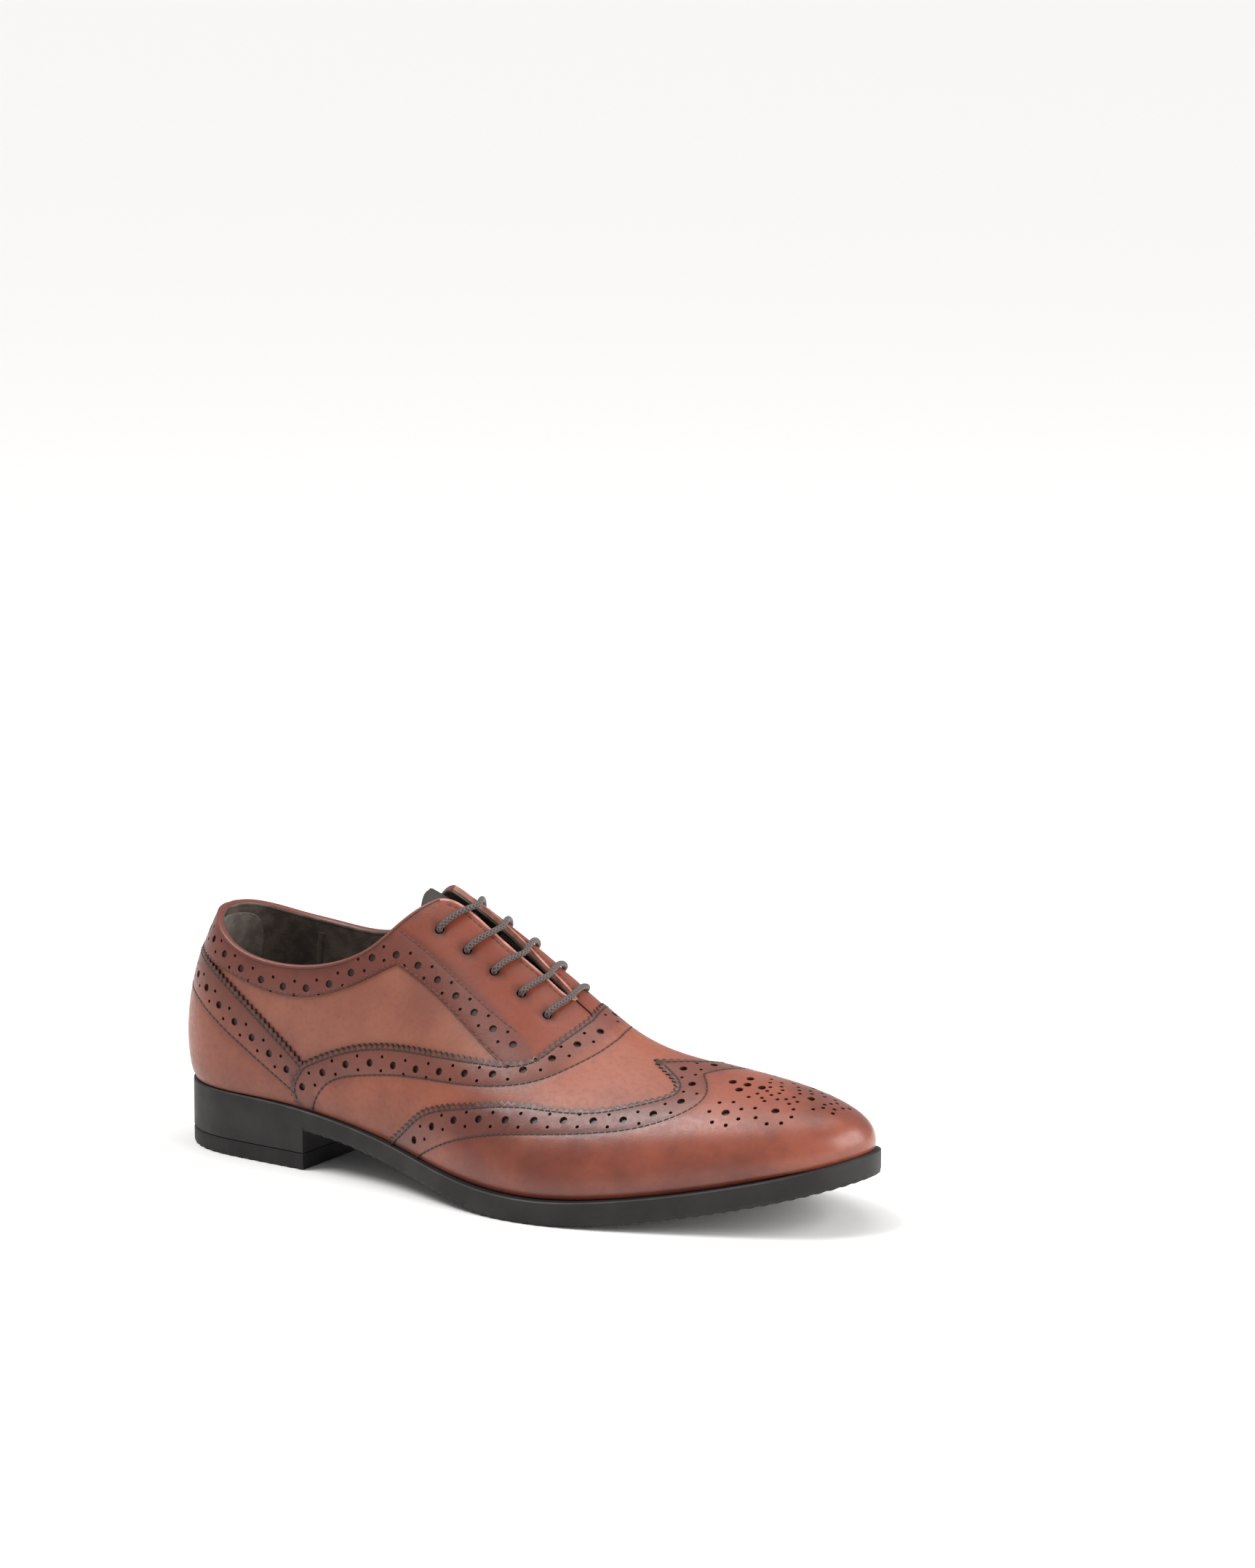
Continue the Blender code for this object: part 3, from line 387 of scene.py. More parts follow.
def circle(angle, side, radius, sides):
    """A round hole, as a ring of places."""
    centre = np.array([[angle, side]], float)
    along, across = last_slopes(*centre.T)
    u = along[0] / np.linalg.norm(along[0])
    v = np.cross(last_normal(*centre.T)[0], u)
    turns = 2 * math.pi * (np.arange(sides) + 0.5) / sides
    around = radius * (np.outer(np.cos(turns), u) + np.outer(np.sin(turns), v))
    return moved(np.repeat(centre, sides, axis=0), around)


def pinked(line, depth):
    """An edge cut in small teeth: every second place is drawn in, the others out."""
    push = np.where(np.arange(len(line)) % 2, -0.5, 0.5) * depth
    push[[0, -1]] = 0
    return beside(line, push)


def straight(start, end, count):
    """Places on a straight line."""
    return np.linspace(start, end, count)


def loop(*lines):
    """Joins lines end to end into a closed outline and drops repeated places."""
    points = np.vstack(lines)
    step = np.abs(np.roll(points, 1, axis=0) - points) @ (1, 100)
    return points[step > 1e-4]


print("crest line", round(float(lengths(last_point(np.arange(181), 0))[-1]) / MM), "mm long")

# %% [markdown]
# ## Filling an outline
#
# A panel is a closed outline with holes in it. A constrained Delaunay triangulation fills such a
# shape and keeps every edge we give it, so the teeth of a pinked edge and the rims of the punched
# holes stay sharp. The panel then becomes a closed shell: an outer face, an inner face and a wall
# round the rim. A punched hole is a shallow pit with its own floor, as on the real shoe, where the
# punch stops at the layer below.

# %% Nets of triangles
def inside(points, polygon):
    """Which points lie in a closed polygon."""
    x, y = points.T
    result = np.zeros(len(points), bool)
    for (x0, y0), (x1, y1) in zip(polygon, np.roll(polygon, -1, axis=0)):
        if y0 != y1:
            result ^= ((y0 > y) != (y1 > y)) & (x < x0 + (y - y0) * (x1 - x0) / (y1 - y0))
    return result


def finder(points):
    """A tree that finds the nearest of many points."""
    tree = KDTree(len(points))
    for i, point in enumerate(points):
        tree.insert(point, i)
    tree.balance()
    return tree


CLOSEST = 0.4 * MM
ROW_SHARE = 0.866
NET_MARGIN = 0.6


def fill(edge, rings, guides, spacing):
    """Triangles inside an outline: places, triangles and each one's ring, or -1 for none."""
    ahead = np.roll(edge, -1, axis=0)
    if (edge[:, 0] * ahead[:, 1] - edge[:, 1] * ahead[:, 0]).sum() < 0:
        edge = edge[::-1]
    sharp = np.vstack([edge, *rings]) * FLAT
    tree = finder(np.column_stack([sharp, np.zeros(len(sharp))]))
    soft = [g for guide in guides for g in guide * FLAT if tree.find((*g, 0))[2] > CLOSEST]
    fixed = np.vstack([sharp, soft]) if soft else sharp
    low, high = (edge * FLAT).min(0), (edge * FLAT).max(0)
    rows = np.arange(low[1], high[1], spacing * ROW_SHARE)
    grid = [(x, y) for k, y in enumerate(rows)
            for x in np.arange(low[0] + k % 2 * spacing / 2, high[0], spacing)]
    grid = np.array(grid)[inside(np.array(grid), edge * FLAT)]
    tree = finder(np.column_stack([fixed, np.zeros(len(fixed))]))
    grid = np.array([g for g in grid if tree.find((*g, 0))[2] > NET_MARGIN * spacing]).reshape(-1, 2)
    faces, start = [], 0
    for part in [edge, *rings]:
        faces.append(list(range(start, start + len(part))))
        start += len(part)
    made = delaunay_2d_cdt([Vector(p) for p in np.vstack([fixed, grid])], [], faces, 1, 1e-8)
    triangles, owners = [], []
    for face, owner in zip(made[2], made[5]):
        if not owner:
            continue
        for i in range(1, len(face) - 1):
            triangles.append((face[0], face[i], face[i + 1]))
            owners.append(max(owner) - 1)
    return np.array([tuple(v) for v in made[0]]) / FLAT, np.array(triangles), np.array(owners)


def welded(places):
    """Point numbers in which both sides share their points at the heel seam and the toe seam."""
    ids, seen = np.arange(len(places)), {}
    for i in np.where((places[:, 0] < 0.01) | (places[:, 0] > 179.99))[0]:
        key = (places[i, 0] > 90, round(abs(float(places[i, 1])), 4))
        ids[i] = seen.setdefault(key, i)
    return ids


def rim_of(triangles):
    """Directed edges that belong to one triangle."""
    edges = {(t[i], t[(i + 1) % 3]) for t in triangles for i in range(3)}
    return [e for e in edges if (e[1], e[0]) not in edges]


square = fill(np.array([(80, -0.1), (90, -0.1), (90, 0.1), (80, 0.1)]), [], [], 3 * MM)
print("a small square takes", len(square[1]), "triangles")

# %% [markdown]
# ## Small helpers for materials
#
# Colours are written as web colours and turned to the linear values that Blender uses. One
# function adds a node, sets its sockets and links other nodes to them.

# %% Colour and nodes
def linear(colour):
    """A web colour as linear red, green, blue and alpha."""
    parts = [int(colour[i:i + 2], 16) / 255 for i in (1, 3, 5)]
    return tuple(c / 12.92 if c <= 0.04045 else ((c + 0.055) / 1.055) ** 2.4 for c in parts) + (1.0,)


def add(tree, kind, settings=None, **sockets):
    """Adds a node; a socket's value is a number, a colour or another node's output."""
    made = tree.nodes.new(kind)
    for key, value in (settings or {}).items():
        setattr(made, key, value)
    for key, value in sockets.items():
        name = key.replace("_", " ")
        socket = made.inputs[int(key[1:])] if key[0] == "_" else made.inputs[name]
        if isinstance(value, bpy.types.NodeSocket):
            tree.links.new(value, socket)
        else:
            socket.default_value = value
    return made


def material(name):
    """A new material, its tree and its Principled shader."""
    made = bpy.data.materials.new(name)
    made.use_nodes = True
    return made, made.node_tree, made.node_tree.nodes["Principled BSDF"]


def mix(tree, factor, a, b, blend="MIX"):
    """Mixes two colours, each a web colour or an output."""
    a, b = (linear(c) if isinstance(c, str) else c for c in (a, b))
    kept = {"data_type": "RGBA", "blend_type": blend}
    return add(tree, "ShaderNodeMix", kept, _0=factor, _6=a, _7=b).outputs[2]


def spread(tree, value, low, high, bottom=0.0, top=1.0):
    """Maps a value from low..high to bottom..top, held at the ends."""
    kept = {"interpolation_type": "SMOOTHSTEP"}
    return add(tree, "ShaderNodeMapRange", kept, _0=value, _1=low, _2=high, _3=bottom, _4=top).outputs[0]


print("mid grey is", round(linear("#808080")[0], 3), "in linear light")

# %% [markdown]
# ## Leather
#
# The upper is aniline-dyed calf with a light wax finish. Dye sinks in unevenly, so the tan shifts
# over a few centimetres; the maker burnishes the punched bands darker with wax; and the pores give a
# fine grain that breaks up the shine. We drive the burnish from a value stored on each point, so it
# follows the real seams; the same point values carry painted shade near the sole, in the stitch
# troughs and on the pit floors. Calf pores are about 0.15 mm; they are drawn at 0.7 mm, since finer
# ones would vanish in the picture.

# %% Calf leather
# the burnish colour darkens the burnished bands and is also painted shade near the sole and in the pits; the
# ink colour inks cut edges and is also painted shade in stitch troughs and pits
TAN, DEEP_TAN, BURNISH_AND_SHADE, INK_AND_SHADE = "#93503A", "#7B3E2B", "#5A302A", "#1E0C08"


def calf(name, tan=TAN, deep=DEEP_TAN, roughness=0.40, coat=0.15):
    """Waxed calf: mottled dye and fine pores; point values give the burnish, the inked edges, and painted
    shade near the sole, in the stitch troughs and in the pits.
    """
    made, tree, shader = material(name)
    place = add(tree, "ShaderNodeTexCoord").outputs["Object"]
    cloud = add(tree, "ShaderNodeTexNoise", Vector=place, Scale=1 / (38 * MM), Detail=4.0, Roughness=0.55)
    speck = add(tree, "ShaderNodeTexNoise", Vector=place, Scale=1 / (2.2 * MM), Detail=3.0, Roughness=0.6)
    pores = add(tree, "ShaderNodeTexVoronoi", Vector=place, Scale=1 / (0.7 * MM), Randomness=1.0)
    wrinkle = add(tree, "ShaderNodeTexNoise", Vector=place, Scale=1 / (3.5 * MM), Detail=2.0)
    burnish_and_shade = add(tree, "ShaderNodeAttribute", {"attribute_name": "burnish_and_shade"}).outputs["Fac"]
    ink_and_shade = add(tree, "ShaderNodeAttribute", {"attribute_name": "ink_and_shade"}).outputs["Fac"]
    base = mix(tree, spread(tree, cloud.outputs["Fac"], 0.35, 0.68), tan, deep)
    base = mix(tree, spread(tree, speck.outputs["Fac"], 0.45, 0.75, 0.0, 0.22), base, BURNISH_AND_SHADE)
    base = mix(tree, burnish_and_shade, base, BURNISH_AND_SHADE)
    base = mix(tree, ink_and_shade, base, INK_AND_SHADE)
    tree.links.new(base, shader.inputs["Base Color"])
    rough = spread(tree, speck.outputs["Fac"], 0.3, 0.7, roughness - 0.05, roughness + 0.08)
    tree.links.new(rough, shader.inputs["Roughness"])
    grain = add(tree, "ShaderNodeBump", Strength=0.22, Distance=0.10 * MM, Height=pores.outputs["Distance"])
    soft = add(tree, "ShaderNodeBump", Strength=0.18, Distance=0.25 * MM,
               Height=wrinkle.outputs["Fac"], Normal=grain.outputs["Normal"])
    tree.links.new(soft.outputs["Normal"], shader.inputs["Normal"])
    shader.inputs["Coat Weight"].default_value = coat
    shader.inputs["Coat Roughness"].default_value = 0.28
    shader.inputs["IOR"].default_value = 1.48
    return made


QUARTER_CALF = calf("quarter_waxed_calf", "#935944", "#80483A")
FACING_CALF = calf("facing_waxed_calf", "#823C26", "#75341F")
COUNTER_CALF = calf("counter_waxed_calf", "#8B4933", "#793C29")
VAMP_CALF = calf("vamp_waxed_calf")
CAP_CALF = calf("cap_waxed_calf", "#904B37", "#6B3122", roughness=0.34, coat=0.25)
print("leathers", [m.name for m in (QUARTER_CALF, FACING_CALF, COUNTER_CALF, VAMP_CALF, CAP_CALF)])

# %% [markdown]
# ## Lining, thread and the other finishes
#
# The lining is a dark embossed synthetic, matt with a fine grain. The heel grip is suede, whose
# raised fibres catch the light at its edges. Thread is waxed polyester, a dull dark brown. The sock is
# near-black cloth. The tongue is soft grey-brown leather, darkened here to a near-black brown as
# painted shade for the deep gap between the facings. Cut leather shows its paler inside, unless the
# maker inks it. One recipe serves them all: two close tones and a grain of the right size.

# %% Lining, sock, tongue and thread
def grained(name, colour, other, roughness, size, bump, sheen=0.0):
    """A matt grained sheet: two close tones, with a bump of the given size."""
    made, tree, shader = material(name)
    place = add(tree, "ShaderNodeTexCoord").outputs["Object"]
    cloud = add(tree, "ShaderNodeTexNoise", Vector=place, Scale=1 / (8 * size), Detail=4.0)
    cells = add(tree, "ShaderNodeTexVoronoi", Vector=place, Scale=1 / size)
    base = mix(tree, spread(tree, cloud.outputs["Fac"], 0.35, 0.65), colour, other)
    tree.links.new(base, shader.inputs["Base Color"])
    grain = add(tree, "ShaderNodeBump", Strength=0.5, Distance=bump, Height=cells.outputs["Distance"])
    tree.links.new(grain.outputs["Normal"], shader.inputs["Normal"])
    shader.inputs["Roughness"].default_value = roughness
    shader.inputs["Sheen Weight"].default_value = sheen
    return made


LINING = grained("lining_grained_synthetic", "#6A5D53", "#50463F", 0.62, 0.8 * MM, 0.12 * MM)
HEEL_GRIP = grained("heel_grip_suede", "#75695F", "#5C5149", 0.9, 0.6 * MM, 0.15 * MM, 0.3)
SOCK = grained("sock_black_cloth", "#35312E", "#262320", 0.85, 0.9 * MM, 0.15 * MM, 0.15)
# the tongue's colour is darkened to near-black brown: painted shade for the deep gap between the facings
SHADED_TONGUE_HIDE = grained("tongue_leather_painted_shade", "#332B27", "#231D1A", 0.6, 0.9 * MM, 0.12 * MM)
RAW_EDGE = grained("cut_leather_edge", "#C0897A", "#A46F60", 0.75, 0.5 * MM, 0.1 * MM)
INKED_EDGE = grained("inked_leather_edge", "#2A120C", "#1C0B07", 0.55, 0.5 * MM, 0.1 * MM)
THREAD = grained("waxed_polyester_thread", "#35170F", "#241009", 0.45, 0.3 * MM, 0.05 * MM)
TAN_THREAD = grained("tan_polyester_thread", "#6B3523", "#552918", 0.45, 0.3 * MM, 0.05 * MM)
print("finishes so far", len(bpy.data.materials))

# %% [markdown]
# ## Making a piece
#
# Every piece is one closed mesh that rides on the shoe's single body. It is made from plain lists of
# points and faces, because the forms are worked out above and need no modifier. Points at the same
# place are merged, loose ones go, and edges sharper than an angle stay crisp.

# %% Making a piece
def piece(name, points, faces, materials, which=None, smooth=40, values=None):
    """A closed mesh in the row's frame, riding on the shoe."""
    mesh = bpy.data.meshes.new(name)
    mesh.from_pydata((np.asarray(points) + SHIFT).tolist(), [], [tuple(map(int, f)) for f in faces])
    for key, numbers in (values or {}).items():
        mesh.attributes.new(key, "FLOAT", "POINT").data.foreach_set("value", np.asarray(numbers, np.float32))
    for m in materials:
        mesh.materials.append(m)
    if which is not None:
        mesh.polygons.foreach_set("material_index", np.asarray(which, np.int32))
    work = bmesh.new()
    work.from_mesh(mesh)
    bmesh.ops.remove_doubles(work, verts=work.verts, dist=1e-6)
    loose = [v for v in work.verts if not v.link_faces]
    bmesh.ops.delete(work, geom=loose, context="VERTS")
    bmesh.ops.recalc_face_normals(work, faces=work.faces)
    work.to_mesh(mesh)
    work.free()
    mesh.shade_smooth()
    mesh.set_sharp_from_angle(angle=math.radians(smooth))
    made = bpy.data.objects.new(name, mesh)
    bpy.context.scene.collection.objects.link(made)
    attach(made, "root")
    print(name, len(mesh.polygons), "faces")
    return made


# %% [markdown]
# ## A leather panel
#
# A panel stores two values on its points for the leather to read: how burnished and shaded it is, and
# how much ink and painted shade it holds. Cut edges are inked dark. A seam pulls the leather down a
# little, so a stitch row lies in a shallow trough, darkened with painted shade, and the net is finer
# beside it. Pit floors are dark, partly from the darker layer below and partly painted shade. Near
# the sole the leather is tucked in, as it is on a real last, and darkened there with painted shade.

# %% Leather panels
TUCK_START, TUCK_DEPTH = 0.955, 0.9 * MM
RIM_DROP = 0.22 * MM
PALE_REACH = 0.4 * MM
# pit floor darkness: partly the darker layer below, partly painted shade
PIT_INK_AND_SHADE = 0.8
LARGE_SIDES, SMALL_SIDES = 12, 8
TROUGH_STEP, TROUGH_SIDE = 1.2 * MM, 0.9 * MM


def panel(name, halves, low, high, materials, *, pits=(), cuts=(), troughs=(), guides=(),
          floor=0.0, spacing=2.4 * MM, burnish_and_shade=None, pale=None, inner_material=0, inked=0.9,
          trough_shade=0.65, place=surface):
    """A leather panel on the last.

    Halves are closed outlines. Pits and cuts are (angle, side, radius); a cut goes right through.
    Troughs are (stitch line, depth, width); trough_shade is the painted shade in them. Burnish_and_shade
    gives the darkening at places: burnish, and painted shade near the sole. Pale is a line whose cut
    edge takes the last material; the other edges take the one before it.
    """
    places, triangles, owners = [], [], []
    count = 0
    seams = [respaced(line, TROUGH_STEP) for line, _, _ in troughs]
    guides = [*guides, *[beside(line, d) for line in seams for d in (0, TROUGH_SIDE, -TROUGH_SIDE)]]
    guides = [g[(g[:, 0] > 1) & (g[:, 0] < 179)] for g in guides]
    for edge in halves:
        near = (edge[:, 1].min() - 0.01, edge[:, 1].max() + 0.01)
        holes = [h for h in [*pits, *cuts] if near[0] < h[1] < near[1]]
        rings = [circle(a, s, r, LARGE_SIDES if r > MM else SMALL_SIDES) for a, s, r in holes]
        net, tris, owner = fill(edge, rings, guides, spacing)
        keep = np.array([i < 0 or holes[i] not in cuts for i in owner])
        places.append(net)
        triangles.append(tris[keep] + count)
        owners.append(owner[keep] >= 0)
        count += len(net)
    places, in_pit = np.vstack(places), np.concatenate(owners)
    triangles = welded(places)[np.vstack(triangles)]
    angle, side = np.clip(places, (0, -1), (180, 1)).T
    rim = rim_of(triangles)
    on_rim = np.zeros(count, bool)
    on_rim[[i for e in rim for i in e]] = True
    base = last_point(angle, side)
    tuck = TUCK_DEPTH * np.clip((np.abs(side) - TUCK_START) / (1 - TUCK_START), 0, 1) ** 2
    high = high(angle) if callable(high) else high
    low = low(angle) if callable(low) else low
    free = on_rim & (np.abs(side) < 1)
    top = high - tuck - RIM_DROP * free
    ink_and_shade = np.where(free, inked, 0.0)
    for line, depth, width in troughs:
        tree = finder(last_point(*respaced(line, TROUGH_STEP / 2).T))
        away = np.array([tree.find(p)[2] for p in base])
        dip = np.exp(-(away / width) ** 2)
        top -= depth * dip
        # painted shade: the leather in the stitch trough is darkened
        ink_and_shade = np.maximum(ink_and_shade, trough_shade * dip)
    pit_points = sorted({i for t in triangles[in_pit] for i in t})
    number = {i: 2 * count + k for k, i in enumerate(pit_points)}
    floors = places[pit_points] if len(pit_points) else np.zeros((0, 2))
    outer = place(angle, side, top)
    inner = place(angle, side, np.minimum(low, top - 0.1 * MM))
    bottom = surface(*floors.T, np.full(len(floors), floor)) if len(floors) else np.zeros((0, 3))
    faces, which = [], []
    for t, pit in zip(triangles, in_pit):
        faces.append(tuple(number[i] for i in t) if pit else tuple(t))
        faces.append(tuple(i + count for i in reversed(t)))
        which += [0, inner_material]
    for a, b in rim_of(triangles[in_pit]):
        faces.append((b, a, number[a], number[b]))
        which.append(0)
    pale_tree = finder(last_point(*pale.T)) if pale is not None else None
    edge_material = max(0, len(materials) - 2) if pale_tree else len(materials) - 1
    is_pale = np.array([pale_tree is not None and pale_tree.find(p)[2] < PALE_REACH for p in base])
    for a, b in rim:
        faces.append((b, a, a + count, b + count))
        which.append(len(materials) - 1 if is_pale[a] and is_pale[b] else edge_material)
    ink_and_shade = np.where(is_pale, 0, ink_and_shade)
    dark = burnish_and_shade(places) if burnish_and_shade else np.zeros(count)
    # pit floors fully darkened: partly the darker layer below, partly painted shade
    dark = np.concatenate([dark, dark, np.ones(len(floors))])
    points = np.vstack([outer, inner, bottom])
    values = {"burnish_and_shade": dark, "ink_and_shade": np.concatenate([ink_and_shade, ink_and_shade, np.full(len(floors), PIT_INK_AND_SHADE)])}
    return piece(name, points, faces, materials, which, values=values)


# %% [markdown]
# ## Where the seams run
#
# These tables follow the seams of the real shoe. The opening is the collar and then the throat.
# The vamp's edge climbs from the sole, runs along the side and crosses the throat. The cap's edge is
# the wing: two long sweeps that meet in a peak over the toes.

# %% Seam tables
OPENING = (
    # angle, outer, inner
    (0.0, -0.447, 0.447),
    (4.0, -0.447, 0.447),
    (15.0, -0.453, 0.450),
    (30.0, -0.510, 0.490),
    (42.0, -0.568, 0.527),
    (53.0, -0.572, 0.535),
    (60.0, -0.525, 0.500),
    (64.5, -0.448, 0.430),
    (67.3, -0.325, 0.325),
    (69.0, -0.200, 0.215),
    (70.0, -0.110, 0.145),
    (71.5, -0.066, 0.112),
    (74.0, -0.046, 0.100),
    (79.5, -0.036, 0.094),
    (84.5, -0.018, 0.080),
    (89.5, 0.004, 0.060),
    (94.5, 0.018, 0.044),
    (95.4, 0.031, 0.031),
)
CORNER = 10  # the row where the collar ends and the throat starts
VAMP_LOW = ((56.5, 1.000), (55.2, 0.950), (57.2, 0.850))
VAMP_MID = ((57.2, 0.850), (67.9, 0.731), (80.2, 0.616), (92.7, 0.457))
THROAT_SIDE, HALF_SLIT = 0.031, 0.0045
SEAM_OUT = ((92.7, -0.457), (96.4, -0.370), (97.8, -0.260), (98.7, -0.120), (98.9, 0.031))
SEAM_IN = ((92.7, 0.457), (96.4, 0.379), (97.8, 0.269), (98.7, 0.129), (98.9, 0.031))
CAP_EDGE = (
    # angle, side
    (75.5, 1.000),
    (78.6, 0.917),
    (82.0, 0.818),
    (89.5, 0.690),
    (99.7, 0.550),
    (110.3, 0.466),
    (118.4, 0.345),
    (122.0, 0.230),
    (120.7, 0.139),
    (117.5, 0.068),
    (113.6, 0.000),
)
COUNTER_EDGE = ((0.0, 0.565), (15.0, 0.570), (24.0, 0.585), (32.0, 0.620),
                (42.2, 0.698), (50.5, 0.777), (57.2, 0.850), (58.4, 0.866))
COLLAR_LOW = ((24.0, 0.585), (36.2, 0.622), (44.6, 0.655), (56.4, 0.650), (65.0, 0.552), (70.0, 0.444))
FACING_REAR = ((70.0, 0.444), (81.1, 0.444), (92.7, 0.457))
PEAK_SHIFT = -0.03
EYELETS = (
    # outer angle, outer side, inner angle, inner side
    (73.6, -0.233, 75.8, 0.262),
    (79.0, -0.216, 81.0, 0.258),
    (84.1, -0.190, 86.0, 0.248),
    (89.2, -0.166, 90.8, 0.232),
    (94.2, -0.150, 95.2, 0.195),
)
EYELET_RADIUS = 1.9 * MM
print("rows of lace holes", len(EYELETS))

# %% [markdown]
# ## Punching and stitching
#
# A brogue's bands are punched with large holes in a row and a pair of small ones between each two.
# The vamp, cap and counter have a pinked edge, cut in teeth, with a stitch row just inside it and
# another below the holes. On this shoe the large holes are 3.1 mm across and the small ones 1.4 mm;
# the teeth are 2.7 mm apart and the stitches 2.5 mm.

# %% Punch and stitch tables
LARGE, SMALL = 1.55 * MM, 0.72 * MM
PAIR_REACH = 2.7 * MM
TOOTH_PITCH, TOOTH_DEPTH = 2.7 * MM, 1.35 * MM
STITCH_PITCH, ROW_INSET = 2.5 * MM, 1.9 * MM
VAMP_HOLES = ((57.7, 0.923), (61.1, 0.865), (69.0, 0.777), (78.1, 0.707), (87.2, 0.597),
              (95.7, 0.447), (100.5, 0.216), (102.0, 0.031))
VAMP_ROW = ((59.7, 1.000), (62.0, 0.903), (68.8, 0.820), (78.7, 0.729), (92.6, 0.566),
            (99.0, 0.440), (103.0, 0.270), (104.8, 0.120), (105.2, 0.031))
CAP_HOLES = ((81.5, 0.930), (85.0, 0.835), (92.0, 0.720), (100.5, 0.627), (109.6, 0.545),
             (118.2, 0.490), (123.1, 0.395), (125.4, 0.245), (123.8, 0.100), (120.3, 0.000))
CAP_ROW = ((81.8, 1.000), (88.8, 0.853), (99.1, 0.709), (112.4, 0.606), (118.8, 0.560),
           (125.1, 0.455), (128.6, 0.283), (127.5, 0.110), (125.0, 0.000))
COUNTER_HOLES = ((4.2, 0.632), (14.0, 0.640), (25.9, 0.664), (36.0, 0.733), (45.7, 0.810), (54.0, 0.881))
COUNTER_ROW = ((0.0, 0.690), (12.0, 0.692), (23.2, 0.710), (33.5, 0.765), (44.5, 0.850),
               (53.6, 0.930), (56.0, 0.952))
COLLAR_HOLES = ((4.2, 0.505), (14.0, 0.507), (22.9, 0.521), (35.8, 0.584), (46.0, 0.633), (55.1, 0.629),
                (62.5, 0.549), (67.6, 0.430), (72.2, 0.404), (80.6, 0.389), (92.9, 0.363))
FACING_FRONT = ((67.8, 0.333), (80.8, 0.339), (93.1, 0.306))
print("large holes", 2 * LARGE / MM, "mm, small holes", 2 * SMALL / MM, "mm")

# %% [markdown]
# ## Rules for punching, burnishing and painted shade
#
# A row of holes comes from a line and a count, so the holes stay even. The burnish is a rule too: wax
# is rubbed on along a line and fades out at a given distance. Near the sole the rule adds painted shade.

# %% Punching and burnishing
def punches(rows, sign, count, bend=0.0):
    """Large holes along a line with pairs of small ones between."""
    line = trace(rows, MM, sign, bend, count=2 * count - 1)
    large = [(a, s, LARGE) for a, s in line[::2]]
    small = [(a, s, SMALL) for d in (PAIR_REACH, -PAIR_REACH) for a, s in beside(line, d)[1::2]]
    return large + small


# band burnish is real wax; the darkening near the sole is painted shade for the lower sides that face away
# from the light
BAND_BURNISH, SOLE_PAINTED_SHADE, SOLE_SHADE_START = 0.62, 0.30, 0.86


def depth_from(line, reach, fade):
    """A darkening rule: burnish full near a line, fading past a reach, and painted shade towards the sole."""
    tree = finder(last_point(*line.T))

    def rule(places):
        away = np.array([tree.find(p)[2] for p in last_point(*np.clip(places, (0, -1), (180, 1)).T)])
        share = np.clip((reach + fade - away) / fade, 0, 1)
        # painted shade: darker towards the sole
        low = np.clip((np.abs(places[:, 1]) - SOLE_SHADE_START) / (1 - SOLE_SHADE_START), 0, 1) ** 2
        return np.maximum(BAND_BURNISH * share * share * (3 - 2 * share), SOLE_PAINTED_SHADE * low)

    return rule


# %% [markdown]
# ## The quarters and their lining
#
# The quarters are the sides of the shoe, and under the overlays they carry everything else. One
# shell covers the whole last except the opening: tan calf outside, the dark lining inside. Laces
# pass through real holes in it.

# %% Quarters and lining
eyelet_holes = [(row[k], row[k + 1], EYELET_RADIUS) for row in EYELETS for k in (0, 2)]
topline, throat = {}, {}
for sign, k in ((-1, 1), (1, 2)):
    topline[sign] = trace([(r[0], r[k]) for r in OPENING[:CORNER + 1]], 1.6 * MM)
    throat[sign] = trace([(r[0], r[k]) for r in OPENING[CORNER:]], 1.6 * MM)
toe_sides = np.concatenate([np.arange(0, 1, 0.04), [1.0]])
TOE_SEAM = np.column_stack([np.full(len(toe_sides), 180.0), toe_sides])
back = straight((0, 0.447), (0, 1), 24)
whole = loop(
    straight((0, -1), (180, -1), 121), TOE_SEAM[::-1] * (1, -1), TOE_SEAM, straight((180, 1), (0, 1), 121),
    back[::-1], topline[1], throat[1], throat[-1][::-1], topline[-1][::-1], back * (1, -1))
quarters = panel("quarters", [whole], -WALL, 0.0, [QUARTER_CALF, LINING],
                 cuts=eyelet_holes, spacing=3.0 * MM, inner_material=1, inked=0.0,
                 burnish_and_shade=depth_from(topline[-1], 0.5 * MM, 1 * MM))
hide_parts("upper")

# %% [markdown]
# ## Collar bands and facings
#
# On each side one strip runs round the collar and down the facing, where the eyelets are. It is
# punched all along and stitched down on its smooth edge. Its cut edge at the throat is pale. It
# slips under the counter at the back and under the vamp in front, as the real piece does.

